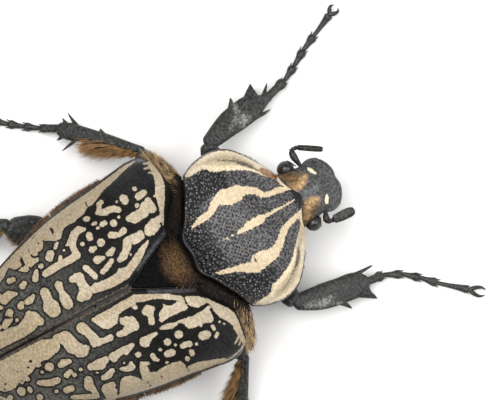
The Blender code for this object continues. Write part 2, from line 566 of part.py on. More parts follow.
def hind_body(name, places, finish):
    """A length of the hind body, with one section at each of the places."""
    sections = [hind_section(f) for f in places]
    upper = np.stack([s[0] for s in sections])
    lower = np.stack([s[1] for s in sections])
    return shaded(between(name, upper, lower, finish), 50)


def mesothorax(finish):
    """The hairy collar between pronotum and wing cases, its front following the pronotum's rear edge."""
    share = np.linspace(0, 1, 8)[:, None]
    half = np.interp(share, (0, 0.5, 1), [h for _, h in MESO_HALF])
    spread = np.sin(np.linspace(-0.5, 0.5, 19) * np.pi)
    out = half * spread
    front = knots(np.abs(out), MESO_FRONT)
    f = MESO_REAR_F + (front - MESO_REAR_F) * share
    top = knots(np.abs(out), MESO_TOP)
    reach = np.maximum(half, np.abs(out))
    low = MESO_SIDE_Z - (MESO_SIDE_Z - knots(f, BELLY_Z)) * arch(out / reach, BELLY_POWER)
    upper, lower = np.stack([f, out, top], -1), np.stack([f, out, low], -1)
    return between("mesothorax", upper, lower, finish)


def prow(finish):
    """The breastbone's blunt prow, which points forward between the middle legs."""
    turn = np.linspace(0, 2 * np.pi, LIMB_SIDES, endpoint=False)
    rings = [np.stack([np.full(LIMB_SIDES, f), half * np.cos(turn), z + deep * np.sin(turn)], -1)
             for f, half, z, deep in PROW]
    return rings_body("prow", rings, finish)


def pygidium(finish):
    """The last back plate, a rounded wedge that shows behind the wing cases' tips."""
    turn = np.linspace(0, 2 * np.pi, PYGIDIUM_SIDES, endpoint=False)
    wide, tall = (np.sign(wave) * np.abs(wave) ** PYGIDIUM_POWER for wave in (np.cos(turn), np.sin(turn)))
    rings = [np.stack([np.full(PYGIDIUM_SIDES, f), half * wide, 0.5 * (low + high + (high - low) * tall)], -1)
             for f, half, low, high in PYGIDIUM]
    return shaded(rings_body("pygidium", rings, finish), 50)


def outward_of(direction):
    """The level axis across a limb that points away from the body."""
    across = unit(np.cross(direction, (0.0, 0.0, 1.0)))
    return across if across[1] > INWARD_LEAN else -across


def segment(name, start, end, profile, side, finish, before=None, after=None, sides=LIMB_SIDES):
    """One limb segment between two joints, mitred to its neighbours' directions with half a gap each."""
    start, end = np.asarray(start, float), np.asarray(end, float)
    share, shift, half_wide, half_deep = np.array(profile).T
    direction = unit(end - start)
    outward = outward_of(direction)
    path = start + (end - start) * share[:, None] + outward * shift[:, None]
    turn = np.linspace(0, 2 * np.pi, sides, endpoint=False)[None, :, None]
    deep = unit(np.cross(outward, direction))
    rings = (path[:, None] + outward * half_wide[:, None, None] * np.cos(turn)
             + deep * half_deep[:, None, None] * np.sin(turn))
    if before is not None:
        normal = unit(before + direction)
        rings[0] = mitred(rings[0], direction, start + normal * GAP / 2, normal)
    if after is not None:
        normal = unit(after + direction)
        rings[-1] = mitred(rings[-1], direction, end - normal * GAP / 2, normal)
    return rings_body(name, rings, finish, side)


def spike(base, tip, radius, finish, side):
    """A tooth or spur: a cone with its blunt root sunk in the limb."""
    share, taper = np.array(SPIKE_TAPER).T
    rings, _ = tube_rings(base + (tip - base) * share[:, None], radius * taper, radius * taper, SPIKE_SIDES)
    return rings_body("spike", rings, finish, side)


def of_leg(table, which):
    """The entry of one leg, or the entry that its pair shares."""
    return table.get(which) or table[which.split("_")[0]]


def tibia(name, which, knee, ankle, side, finish, before, after):
    """Tibia with its teeth on the outer edge and its spurs on the inner one."""
    profile = of_leg(TIBIA, which)
    node = segment(name, knee, ankle, profile, side, finish, before, after)
    direction = unit(ankle - knee)
    outward = outward_of(direction)
    share, shift, half_wide, _ = np.array(profile).T
    spikes = []
    for at, edge, length, lean, radius in of_leg(TEETH, which):
        reach = np.interp(at, share, shift) + edge * (np.interp(at, share, half_wide) - SPIKE_SUNK * radius)
        base = knee + (ankle - knee) * at + outward * reach
        tip = base + outward * edge * (length + 0.5 * radius) + direction * lean
        spikes.append(spike(base, tip, radius, finish, side))
    return shaded(boolean(node, spikes, "UNION"))


def tarsus(name, ankle, toes, side, finish, before):
    """Five beads that lie on the floor; their undersides are flat there."""
    joints = np.concatenate([[ankle], [(f, out, z) for (f, out), z in zip(toes, TOE_Z)]])
    path, radii = [], []
    for number, (a, b) in enumerate(zip(joints[:-1], joints[1:])):
        for at, radius in LAST_TOE if number == len(toes) - 1 else TOE_BEAD:
            path.append(a + (b - a) * at)
            radii.append(radius)
    path, radii = np.array(path), np.array(radii)
    radii[0] = ANKLE_RADIUS
    rings, along = tube_rings(path, radii, radii * 0.85, TOE_SIDES)
    normal = unit(before + along[0])
    rings[0] = mitred(rings[0], along[0], joints[0] + normal * GAP / 2, normal)
    rings[..., 2] = np.maximum(rings[..., 2], 0.0)
    shaded(rings_body(name, rings, finish, side))
    return joints[-1], unit(joints[-1] - joints[-2])


def claws(name, start, direction, tip, side, finish):
    """Two hooks that arch forward and down from a small knob."""
    base = start + direction * (GAP + 0.02)
    tip = np.array((*tip, CLAW_TIP_Z))
    across = unit(np.cross(direction, (0.0, 0.0, 1.0)))
    hooks = []
    for edge in (-1, 1):
        end = tip + across * edge * CLAW_SPREAD
        middle = base + 0.65 * (end - base) + across * edge * CLAW_BOW + (0, 0, CLAW_ARCH)
        path = bow(base + across * edge * CLAW_ROOT, middle, end, len(CLAW_RADII))
        rings, _ = tube_rings(path, CLAW_RADII, CLAW_RADII, SPIKE_SIDES)
        rings[0] = mitred(rings[0], direction, base, direction)
        hooks.append(rings_body(name if edge < 0 else "hook", rings, finish, side))
    return shaded(boolean(hooks[0], hooks[1:], "UNION"))


def leg(which, finish, bodies):
    """Coxa, femur, tibia, tarsus and claws of one leg."""
    kind, side_name = which.split("_")
    side, plan = SIDES[side_name], LEGS[which]
    root, hip, knee, ankle = (np.array(plan[joint], float) for joint in ("root", "hip", "knee", "ankle"))
    first_toe = np.array((*plan["toes"][0], TOE_Z[0]))
    ways = [unit(b - a) for a, b in ((root, hip), (hip, knee), (knee, ankle), (ankle, first_toe))]
    coxa = segment("coxa_" + which, root, hip, COXA[kind], side, finish, None, ways[1])
    boolean(coxa, [grown(body, GAP) for body in bodies], "DIFFERENCE")
    femur = segment("femur_" + which, hip, knee, FEMUR[kind], side, finish, ways[0], ways[2])
    boolean(femur, [grown(body, GAP) for body in bodies], "DIFFERENCE")
    shaded(coxa)
    shaded(femur)
    tibia("tibia_" + which, which, knee, ankle, side, finish, ways[1], ways[3])
    end, direction = tarsus("tarsus_" + which, ankle, plan["toes"], side, finish, ways[2])
    claws("claws_" + which, end, direction, plan["claws"], side, finish)


def beetle():
    clear_scene()
    finish = finishes()
    cases = [wing_case("elytron_" + name, side, finish["cream_shell"]) for name, side in SIDES.items()]
    shield = scutellum(finish["velvet"])
    chest = prothorax(finish["black_shell"])
    face = head(finish["black_shell"])
    for name, side in SIDES.items():
        antenna(name, side, face, finish["leg"])
    eyes_in(face, finish["eye"])
    mouthparts(finish["leg"])
    collar = mesothorax(finish["hairy_side"])
    room = [*(grown(case, 1.3 * GAP) for case in cases), grown(shield, 2 * GAP)]
    boolean(collar, room, "DIFFERENCE")
    shaded(boolean(collar, [prow(finish["hairy_side"])], "UNION"), 50)
    middle = hind_body("metathorax", np.linspace(META_REAR_F, MESO_REAR_F - GAP, 9), finish["hairy_side"])
    seams = np.array(BELLY_SEAMS_F)
    places = [ABDOMEN_REAR_F, *seams, *(seams - BELLY_STEP_LENGTH), META_REAR_F - GAP]
    belly = hind_body("abdomen", sorted(places), finish["velvet"])
    pygidium(finish["black_shell"])
    near = {"front": [chest, collar], "middle": [collar, middle], "hind": [middle, belly]}
    for which in LEGS:
        leg(which, finish["leg"], near[which.split("_")[0]])


beetle()
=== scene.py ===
# %% [markdown]
# # A goliath beetle, dressed for the camera
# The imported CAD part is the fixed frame: it gives every place and size. Here each plate of the
# beetle gets a finer skin, its markings, its hair and its gloss. The frame's own nodes are kept
# for the physics and hidden where a finer skin stands for them.

import math

import bpy
import numpy as np
from mathutils import Matrix


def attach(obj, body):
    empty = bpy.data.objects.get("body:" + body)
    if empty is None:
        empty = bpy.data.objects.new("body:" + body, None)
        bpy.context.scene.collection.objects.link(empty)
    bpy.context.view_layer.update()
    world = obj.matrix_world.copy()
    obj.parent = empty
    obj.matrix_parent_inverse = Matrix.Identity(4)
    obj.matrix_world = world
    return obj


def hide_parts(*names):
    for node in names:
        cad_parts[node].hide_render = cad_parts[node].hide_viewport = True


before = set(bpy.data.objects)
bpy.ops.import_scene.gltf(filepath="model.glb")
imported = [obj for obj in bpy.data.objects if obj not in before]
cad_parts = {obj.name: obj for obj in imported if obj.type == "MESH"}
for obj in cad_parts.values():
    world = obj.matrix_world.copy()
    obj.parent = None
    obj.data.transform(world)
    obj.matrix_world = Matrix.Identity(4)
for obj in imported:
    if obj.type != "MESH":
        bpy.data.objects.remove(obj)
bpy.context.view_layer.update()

# %% [markdown]
# Lengths are millimetres in the beetle's own plan, as in the CAD source: f runs forward from the
# tip of the scutellum (the black triangle between the wing cases), out runs sideways from the
# midline and z up from the floor. The tables are smooth curves through a few named places. The
# same numbers shape the solids, so the skins lie on them.

# %% Named sizes of the body
MM = 0.001
GAP = 0.3
INWARD_LEAN = -0.2
CENTRE_F = 2.17
LEFT, RIGHT = 1, -1
SIDES = {"left": LEFT, "right": RIGHT}

# Wing cases: (f, value) knots of the outer margin, the crest line and the margin's height, and
# (out, f) knots of the front edge.
MARGIN_OUT = ((-29.6, 1.3), (-29, 3.2), (-27.2, 6.2), (-24, 9.2), (-20, 11.6), (-15.5, 13.5), (-12, 14.6),
              (-8, 15.7), (-3, 16.6), (2, 17.2), (6, 17.8), (9, 18.1), (11, 17.7), (12.1, 16.8))
CREST_Z = ((-29.6, 11.9), (-27, 14.4), (-23, 18.4), (-18, 21.9), (-12, 24.2), (-5, 25), (3, 24.6),
           (8, 23.6), (13, 22))
MARGIN_Z = ((-29.6, 11.3), (-20, 10.8), (-10, 10.6), (0, 11.2), (8, 12.2), (13, 13))
FRONT_F = ((5.1, 9.6), (6.2, 9.95), (7.1, 10.5), (8.2, 11.3), (9.4, 12.2), (10.8, 12.9), (12.2, 13.1),
           (14, 12.9), (15.6, 12.6), (16.8, 12.1))
DOME_POWER = 2.5
SHELL = 1.2
SUTURE = 0.15
BASE_ROLL, BASE_ROLL_LENGTH = 1.8, 3.0
LEAST_RISE = 0.25
UNDER_SHELL = SHELL + 0.55

# Scutellum: half width at its base, the places of base and tip, the power of its side edges, the
# fall of its front, and how far it is sunk.
SCUTELLUM_HALF, SCUTELLUM_BASE_F, SCUTELLUM_TIP_F = 4.8, 9.9, 0.5
SCUTELLUM_EDGE_POWER = 0.95
SCUTELLUM_FALL, SCUTELLUM_FALL_F, SCUTELLUM_FALL_POWER = 2.2, 7, 1.6
SCUTELLUM_SUNK, SCUTELLUM_LAG = 0.1, 1.0

# Pronotum: (out, f) knots of its rear and front edge, (f, out) of its side, then heights along f.
PRO_REAR = ((0, 11), (3.4, 11), (4.9, 12.2), (6.9, 13.4), (9, 14.6), (11.2, 15.5), (11.9, 15.8))
PRO_FRONT = ((0, 31.1), (1.6, 30.2), (3.4, 29.4), (5.2, 29))
PRO_SIDE = ((15.8, 11.9), (17.6, 12.8), (19.7, 13.3), (21.6, 13.3), (23, 12.9), (24.5, 12), (25.7, 10.7),
            (26.8, 9.2), (27.8, 7.6), (28.6, 6.2), (29, 5.2))
PRO_TOP = ((11, 21.2), (14, 22.9), (18, 23.6), (22, 23), (26, 20.6), (29, 17.7), (31.1, 15.9))
PRO_RIM = ((15.8, 14.2), (20, 13.4), (25, 12.6), (29.4, 12))
PRO_BOTTOM = ((11, 6), (15, 4.8), (20, 4.2), (25, 5.2), (29, 7.2), (31.1, 8.4))
PRO_RIM_THICK = 0.7
PRO_DOME_POWER, PRO_BELLY_POWER = 2.1, 1.4

# Head: it sits a little to the beetle's left of the midline.
HEAD_ASIDE = 0.2
NECK_GAP = 0.42
HEAD_FRONT = ((0, 37.45), (1.4, 37.6), (2.5, 37.3), (3.4, 36.8), (4.1, 36.2))
HEAD_SIDE = ((29.6, 4.7), (31.2, 4.6), (32.3, 4.3), (33.2, 4.2), (33.9, 4.55), (35.2, 4.6), (36.2, 4.2))
HEAD_TOP = ((29.6, 15.7), (31.5, 15.6), (33, 14.8), (35, 12.9), (37.6, 11.3))
HEAD_RIM = ((29.6, 12.4), (32, 11.6), (34, 11), (36, 10.7), (37.6, 10.8))
HEAD_BOTTOM = ((29.6, 8.2), (32, 8), (34, 8.6), (36, 9.4), (37.6, 10))
HEAD_RIM_THICK = 0.8
HEAD_DOME_POWER, HEAD_CHIN_POWER = 2.4, 1.8
CHIN_F, CHIN_HALF, CHIN_DEEP = (31.4, 36.2), (2.3, 1.6), 1.1
FEELER = ((33.4, 1.4, 7.3), (35, 2.6, 7), (35.9, 2.9, 8.2))
FEELER_RADII = (0.4, 0.42, 0.36, 0.42, 0.4, 0.22)
EYE_CENTRE = (30.85, 4.9, 12.4)
EYE_RADII = (1.4, 1.3, 1.75)

# Antennae: elbow and club, one row for each side because they are held differently.
SCAPE = {"left": ((33.3, 3.6, 11), (33.15, 4.9, 11), (33, 6.2, 11.2), (33.25, 7.1, 11.4)),
         "right": ((33.4, 3.8, 11), (33.2, 4.6, 11), (32.95, 5.3, 11.1), (33.15, 5.85, 11.4))}
CLUB = {"left": ((34.15, 7.1, 11.7), (37.75, 4.85, 12.3)),
        "right": ((33.9, 5.95, 11.8), (37.6, 6.15, 12.4))}
SCAPE_RADII = (0.3, 0.31, 0.36, 0.46, 0.57, 0.6, 0.54, 0.42, 0.34, 0.34, 0.38)
CLUB_WIDE, CLUB_DEEP = {"left": 0.5, "right": 0.82}, {"left": 0.85, "right": 0.6}
CLUB_SWELL = ((0, 0.6), (0.06, 0.8), (0.2, 0.9), (0.45, 1), (0.7, 1), (0.88, 0.82), (0.97, 0.55),
              (1, 0.25))

# Collar, breast and belly under the wing cases.
MESO_FRONT = ((0, 10.6), (3.5, 10.6), (5, 11.75), (7, 12.95), (9.1, 14.1), (11.3, 15), (12.4, 15.2),
              (14.2, 14.8), (15.9, 13.9), (17.2, 12.9))
MESO_REAR_F, META_REAR_F, ABDOMEN_REAR_F = 8.2, -6, -26.8
MESO_TOP = ((0, 20), (6, 19), (10, 17.6), (13, 16.2), (16, 14), (17.2, 12.8))
MESO_HALF = ((8.2, 15.9), (10.8, 16.2), (12.9, 17.2))
BELLY_Z = ((-26.8, 6.4), (-23, 5.2), (-18, 4), (-12, 3.4), (-5, 3.5), (4, 3.8), (9, 4.4), (13, 5.6))
BELLY_POWER = 1.5
LEDGE, LEDGE_THICK, LEDGE_FALL = 0.5, 0.7, 0.2
MESO_SIDE_Z = 10.6
PROW = ((8.6, 1.5, 4.9, 1.3), (11, 1.9, 4.2, 0.85), (13.4, 1.6, 3.7, 0.6), (14.8, 1, 3.65, 0.45),
        (15.3, 0.4, 3.65, 0.3))
BELLY_SEAMS_F = (-9.6, -13.4, -17.2, -20.6, -23.8)
BELLY_STEP = 0.35
# How far the hind body stands out past the wing cases' margin, along f.
SIDE_OUT = ((-26.8, -0.4), (-12, -0.3), (-9, 0.15), (-6.5, 0.35), (1, 0.3), (3.5, 0), (8, -1))
PYGIDIUM_POWER = 0.8
PYGIDIUM = ((-27.1, 5.9, 6.4, 10.3), (-28.4, 5.3, 5.9, 10.3), (-29.7, 4.2, 5.8, 10.1),
            (-30.7, 2.8, 6.3, 9.5), (-31.2, 1.3, 7.1, 8.7))
print("body from f =", MARGIN_OUT[0][0], "to", HEAD_FRONT[1][1])

# %% [markdown]
# Each leg is given by its joints, from the body outwards. Left and right differ, because this
# animal's legs are not spread alike. A segment's outline is a short profile along it, so one
# function can make all of them.

# %% Named places of the legs
# Root of the coxa and hip, which a pair shares. Then knee and ankle, and in plan the tip of the
# claws and the toe joints.
LEG_ROOTS = {"front": ((21.4, 2.7, 6.2), (20.4, 5.6, 3.5)), "middle": ((6.4, 2.8, 4.9), (5.6, 6.9, 2.9)),
             "hind": ((-4.4, 2.6, 4.6), (-6.9, 7.6, 2.9))}
LEGS = {
    "front_left": {"knee": (21.6, 14.5, 7.2), "ankle": (34.2, 16.9, 2.3), "claws": (50.7, 24.7),
                   "toes": ((37.6, 17.9), (40.1, 19.3), (42.7, 20.9), (45.4, 22.2), (49.2, 24))},
    "front_right": {"knee": (22.1, 14.75, 7.2), "ankle": (34.2, 17.35, 2.3), "claws": (50.3, 28),
                    "toes": ((36.9, 17.6), (39.8, 19), (42.1, 20.9), (44.2, 23), (48.3, 26.4))},
    "middle_left": {"knee": (11.9, 18.5, 8.2), "ankle": (1.4, 28.3, 2.3), "claws": (-11.4, 37.2),
                    "toes": ((-1.3, 29.8), (-3.5, 31.3), (-5.6, 32.9), (-7.3, 34.3), (-9.9, 36.2))},
    "middle_right": {"knee": (10.9, 18.6, 8.2), "ankle": (2.7, 30.5, 2.3), "claws": (-9.9, 37.3),
                     "toes": ((0.2, 31.7), (-2, 32.9), (-4.1, 34), (-5.9, 35), (-8.5, 36.4))},
    "hind_left": {"knee": (-13, 18.1, 7.6), "ankle": (-27.4, 25, 2.3), "claws": (-46.4, 32.2),
                  "toes": ((-31, 25.9), (-34.4, 27.1), (-37.6, 28.4), (-40.4, 29.6), (-44.5, 31.3))},
    "hind_right": {"knee": (-13, 18.1, 7.6), "ankle": (-27.4, 25, 2.3), "claws": (-46.2, 32.6),
                   "toes": ((-30.9, 26), (-34.2, 27.3), (-37.4, 28.7), (-40.1, 30), (-44.2, 31.7))},
}

# Profiles along a limb: (share of its length, shift outward, half width, half depth).
COXA = {
    "front": ((0, 0, 1.9, 1.6), (0.3, 0, 2.3, 1.8), (0.7, 0, 1.9, 1.4), (1, 0, 1.15, 1)),
    "middle": ((0, 0, 1.7, 1.4), (0.3, 0, 2.2, 1.6), (0.7, 0, 1.9, 1.4), (1, 0, 1.15, 1)),
    "hind": ((0, 0, 1.9, 1.3), (0.3, 0, 2.4, 1.5), (0.7, 0, 2.1, 1.35), (1, 0, 1.2, 1)),
}
FEMUR = {
    "front": ((0, 0, 1, 0.95), (0.2, 0, 1.45, 1.1), (0.5, 0, 1.8, 1.15), (0.8, 0, 1.7, 1.1),
              (1, 0, 1.15, 0.9)),
    "middle": ((0, 0, 1, 0.95), (0.2, 0, 1.4, 1.05), (0.5, 0, 1.65, 1.1), (0.8, 0, 1.5, 1.05),
               (1, 0, 0.95, 0.9)),
    "hind": ((0, 0, 1.1, 0.95), (0.2, 0.1, 1.7, 1.1), (0.5, 0.6, 2.6, 1.15), (0.65, 1, 3, 1.1),
             (0.78, 0.8, 2.7, 1.1), (0.92, 0.25, 1.9, 1.05), (1, 0, 1.25, 1)),
}
TIBIA = {
    "front_left": ((0, 0, 1.15, 0.75), (0.14, 0.2, 1.55, 0.8), (0.24, 0.35, 1.8, 0.8),
                   (0.37, 0.5, 2.05, 0.75), (0.55, 0.45, 2.2, 0.7), (0.75, 0.37, 1.97, 0.65),
                   (0.84, 0.2, 1.4, 0.62), (0.92, -0.03, 0.85, 0.62), (1, 0, 0.8, 0.62)),
    "front_right": ((0, 0, 1.15, 0.75), (0.14, 0.15, 1.6, 0.8), (0.24, 0.25, 1.85, 0.8),
                    (0.37, 0.3, 2.1, 0.75), (0.6, 0.2, 2.15, 0.7), (0.8, 0, 2.1, 0.65),
                    (0.89, 0, 1.85, 0.62), (0.95, 0.05, 1.35, 0.62), (1, 0, 0.95, 0.62)),
    "middle": ((0, 0, 0.7, 0.75), (0.12, 0.1, 0.72, 0.75), (0.4, 0.2, 1, 0.85), (0.7, 0.1, 1.28, 0.85),
               (0.87, 0, 1.42, 0.85), (0.95, 0, 1.15, 0.8), (1, 0, 0.85, 0.75)),
    "hind": ((0, 0, 1.05, 0.9), (0.12, 0, 1.2, 0.85), (0.4, 0, 1.35, 0.9), (0.7, 0, 1.4, 0.9),
             (0.93, 0, 1.45, 0.9), (1, 0, 1, 0.8)),
}
# Teeth and spurs: (root's share of the tibia, side, length, lean towards the foot, base radius).
TEETH = {
    "front_left": ((0.54, 1, 1.05, 0.8, 0.5), (0.8, 1, 1.5, 1.35, 0.85), (0.94, 1, 1.1, 1.9, 0.4),
                   (0.69, -1, 0.35, 3, 0.34)),
    "front_right": ((0.6, 1, 1.2, 1.35, 0.5), (0.88, 1, 1.2, 2.3, 0.85), (0.88, -1, 0.5, 3.3, 0.34)),
    "middle": ((0.5, 1, 0.5, 0.6, 0.42), (0.8, 1, 1.5, 2.2, 0.38), (0.92, 1, 0.6, 0.9, 0.34),
               (0.92, -1, 0.7, 0.8, 0.32), (0.77, -1, 2.2, 1.9, 0.34)),
    "hind": ((0.5, 1, 0.8, 1.3, 0.42), (0.74, 1, 0.7, 1.3, 0.4), (0.9, 1, 0.8, 1.6, 0.36),
             (0.88, -1, 0.8, 3.1, 0.36), (0.92, -1, 0.3, 2.2, 0.32)),
}
TOE_Z = (1.15, 0.62, 0.55, 0.55, 0.8)
TOE_BEAD = ((0.07, 0.38), (0.45, 0.5), (0.8, 0.74), (0.96, 0.6))
LAST_TOE = ((0.07, 0.34), (0.4, 0.4), (0.75, 0.56), (0.93, 0.66), (1, 0.55))
CLAW_ROOT, CLAW_SPREAD, CLAW_BOW, CLAW_ARCH, CLAW_TIP_Z = 0.15, 0.4, 0.9, 0.75, 0.22
CLAW_RADII = (0.36, 0.35, 0.31, 0.26, 0.2, 0.13, 0.06)
SPIKE_TAPER = ((0, 1), (0.45, 0.72), (0.8, 0.4), (1, 0.12))
SPIKE_SUNK = 0.75
print(len(LEGS), "legs,", sum(len(teeth) for teeth in TEETH.values()), "kinds of teeth and spurs")

# %% [markdown]
# Curves come first: a smooth line through knots, a rounded arch for cross-sections, and the turn
# from the beetle's plan to the world. A few helpers carry a ring along a path.

# %% Curves and places
def knots(at, table):
    """A smooth curve through (place, value) knots: cubic, each knot's slope taken from its neighbours."""
    place, value = np.array(table, float).T
    slope = np.gradient(value, place)
    at = np.clip(np.asarray(at, float), place[0], place[-1])
    first = np.clip(np.searchsorted(place, at) - 1, 0, len(place) - 2)
    step = place[first + 1] - place[first]
    t = (at - place[first]) / step
    return ((1 + 2 * t) * (1 - t) ** 2 * value[first] + t * (1 - t) ** 2 * step * slope[first]
            + t * t * (3 - 2 * t) * value[first + 1] + t * t * (t - 1) * step * slope[first + 1])


def columns_at(at, table):
    """Every further column of a table, read smoothly at places along its first one."""
    first, *others = np.array(table, float).T
    return [knots(at, np.stack([first, other], -1)) for other in others]


def ramp(value, start, length):
    """0 at start and 1 at start + length, straight between and level outside; length may be negative."""
    return np.clip((value - start) / length, 0, 1)


def bell(value, middle, wide):
    """Bell curve: e to the power of minus the square of the distance from the middle over wide."""
    return np.exp(-((value - middle) / wide) ** 2)


def edge_fall(edge, deep, wide):
    """Fall towards an edge: deep at the edge itself, then a parabola up to nothing at wide."""
    return deep * (1 - np.clip(edge / wide, 0, 1)) ** 2


def around(sides):
    """Angles of a ring's corners, evenly spread over one turn."""
    return np.linspace(0, 2 * np.pi, sides, endpoint=False)


def signed_power(wave, power):
    """The wave to a power, its sign kept."""
    return np.sign(wave) * np.abs(wave) ** power


def evenly(values):
    """(share, value) knots of values spread evenly from 0 to 1."""
    return list(zip(np.linspace(0, 1, len(values)), values))


def arch(share, power):
    """Height of a rounded arch, 1 at the middle and 0 where share of the half width is 1."""
    return (1 - np.clip(np.abs(share), 0, 1) ** power) ** (1 / power)


def placed(points, side=LEFT):
    """Plan points (f, out, z) in millimetres turned into the world's metres."""
    points = np.asarray(points, float)
    return np.stack([side * points[..., 1], CENTRE_F - points[..., 0], points[..., 2]], -1) * MM


def unit(vector):
    """The vector divided by its length."""
    return vector / np.linalg.norm(vector, axis=-1, keepdims=True)


def level_across(way):
    """The level axis across a way: its cross product with straight up."""
    return unit(np.cross(way, (0.0, 0.0, 1.0)))


def frames(path):
    """Direction, level sideways axis and upright axis at each point of a path."""
    along = unit(np.gradient(path, axis=0))
    wide = level_across(along)
    return along, wide, unit(np.cross(wide, along))


def tube_rings(path, half_wide, half_deep, sides):
    """Elliptical rings across a path, each with its own half width and half depth."""
    path = np.asarray(path, float)
    along, wide, deep = frames(path)
    turn = around(sides)[None, :, None]
    half_wide = np.asarray(half_wide, float)[:, None, None]
    half_deep = np.asarray(half_deep, float)[:, None, None]
    return (path[:, None] + wide[:, None] * half_wide * np.cos(turn)
            + deep[:, None] * half_deep * np.sin(turn)), along


def through(points, count):
    """A smooth path of count points through a few chosen ones, evenly spread by their number."""
    points = np.asarray(points, float)
    at = np.linspace(0, len(points) - 1, count)
    return np.stack([knots(at, list(enumerate(axis))) for axis in points.T], -1)


def bow(start, middle, end, count):
    """Points along the quadratic curve that leaves start towards middle and comes in to end from it."""
    t = np.linspace(0, 1, count)[:, None]
    return (1 - t) ** 2 * start + 2 * t * (1 - t) * middle + t * t * end


def limb_axes(start, end):
    """A limb's direction, the level axis across it that points away from the body, and the third axis."""
    direction = unit(end - start)
    across = level_across(direction)
    outward = across if across[1] > INWARD_LEAN else -across
    return direction, outward, unit(np.cross(outward, direction))


def of_leg(table, which):
    """The entry of one leg, or the entry that its pair shares."""
    return table.get(which) or table[which.split("_")[0]]


print("the crest is highest at", max(height for _, height in CREST_Z), "mm")

# %% [markdown]
# A skin is a grid of points. `mesh_piece` puts whole arrays of points and faces into a mesh in one
# go, keeps the grid's two parameters as a UV map, and stores each marking as a number at every
# point. The shader later turns such a number into a colour, so that a marking moves with its
# surface. `plate` closes a grid with an inner one, and `tubes` closes rings with two caps.

# %% Meshes from grids
UV_NAME = "OFBake"
SHARP_ANGLE = math.radians(55)


def volume_of(points, faces):
    """Signed volume times six that the faces bound: the sum of corner products over each face's fan."""
    return sum(np.sum(points[group[:, 0]] * np.cross(points[group[:, turn]], points[group[:, turn + 1]]))
               for group in faces for turn in range(1, group.shape[1] - 1))


def faced_out(points, faces):
    """The groups of faces, each reversed when together they bound a negative volume."""
    return faces if volume_of(points, faces) > 0 else [group[:, ::-1] for group in faces]


def linked(name, data):
    """A new object in the scene that shows the given data."""
    obj = bpy.data.objects.new(name, data)
    bpy.context.scene.collection.objects.link(obj)
    return obj


def mesh_piece(name, points, faces, finish, nodes=(), uv=None, values=None, side=LEFT, turned=False):
    """A finished piece from plan points and groups of faces of one size, with values kept at its points.

    turned: on the left the faces point outwards already, and on the right they are reversed.
    """
    mesh = bpy.data.meshes.new(name)
    points = placed(points, side)
    if turned and side == RIGHT:
        faces = [group[:, ::-1] for group in faces]
    elif not turned:
        faces = faced_out(points - points.mean(0), faces)
    sizes = np.concatenate([np.full(len(group), group.shape[1]) for group in faces])
    corners = np.concatenate([group.reshape(-1) for group in faces]).astype(np.int32)
    mesh.vertices.add(len(points))
    mesh.vertices.foreach_set("co", points.reshape(-1).astype(np.float32))
    mesh.loops.add(len(corners))
    mesh.loops.foreach_set("vertex_index", corners)
    mesh.polygons.add(len(sizes))
    mesh.polygons.foreach_set("loop_start", (np.cumsum(sizes) - sizes).astype(np.int32))
    mesh.update(calc_edges=True)
    if uv is not None:
        layer = mesh.uv_layers.new(name=UV_NAME)
        layer.data.foreach_set("uv", np.asarray(uv)[corners].reshape(-1).astype(np.float32))
    for key, value in (values or {}).items():
        kept = mesh.attributes.new(key, "FLOAT", "POINT")
        kept.data.foreach_set("value", np.asarray(value).reshape(-1).astype(np.float32))
    mesh.materials.append(finish)
    mesh.shade_smooth()
    mesh.set_sharp_from_angle(angle=SHARP_ANGLE)
    obj = linked(name, mesh)
    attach(obj, "root")
    if nodes:
        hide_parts(*nodes)
    return obj


def quads(rows, columns, start=0):
    """Faces of a grid of points, numbered row by row from start."""
    index = start + np.arange(rows * columns).reshape(rows, columns)
    return np.stack([index[:-1, :-1], index[:-1, 1:], index[1:, 1:], index[1:, :-1]], -1).reshape(-1, 4)


def rim_of(rows, columns):
    """Numbers of the points round a grid's edge."""
    index = np.arange(rows * columns).reshape(rows, columns)
    return np.concatenate([index[0, :-1], index[:-1, -1], index[-1, :0:-1], index[:0:-1, 0]])


COARSE = 4  # The inner grid of a plate takes every fourth point of the outer one.


def plate(name, upper, lower, finish, nodes, side=LEFT, values=None):
    """A closed plate: a fine outer grid, a coarser inner one, and a wall between their rims."""
    rows, columns = upper.shape[:2]
    under = lower[::COARSE, ::COARSE]
    count = rows * columns
    fine = rim_of(rows, columns)
    rough = rim_of(*under.shape[:2]) + count
    turns = np.arange(len(rough)) * COARSE
    near = np.stack([fine[(turns + step) % len(fine)] for step in range(COARSE + 1)], -1)
    wall = np.concatenate([near[:, ::-1], rough[:, None], np.roll(rough, -1)[:, None]], 1)
    faces = [quads(rows, columns), quads(*under.shape[:2], count)[:, ::-1], wall]
    grid = np.stack(np.meshgrid(np.linspace(0, 1, rows), np.linspace(0, 1, columns), indexing="ij"), -1)
    uv = np.concatenate([grid.reshape(-1, 2), grid[::COARSE, ::COARSE].reshape(-1, 2)])
    kept = {key: np.concatenate([np.broadcast_to(value, (rows, columns)).reshape(-1),
                                 np.full(under[..., 0].size, np.min(value))])
            for key, value in (values or {}).items()}
    points = np.concatenate([upper.reshape(-1, 3), under.reshape(-1, 3)])
    return mesh_piece(name, points, faces, finish, nodes, uv, kept, side)


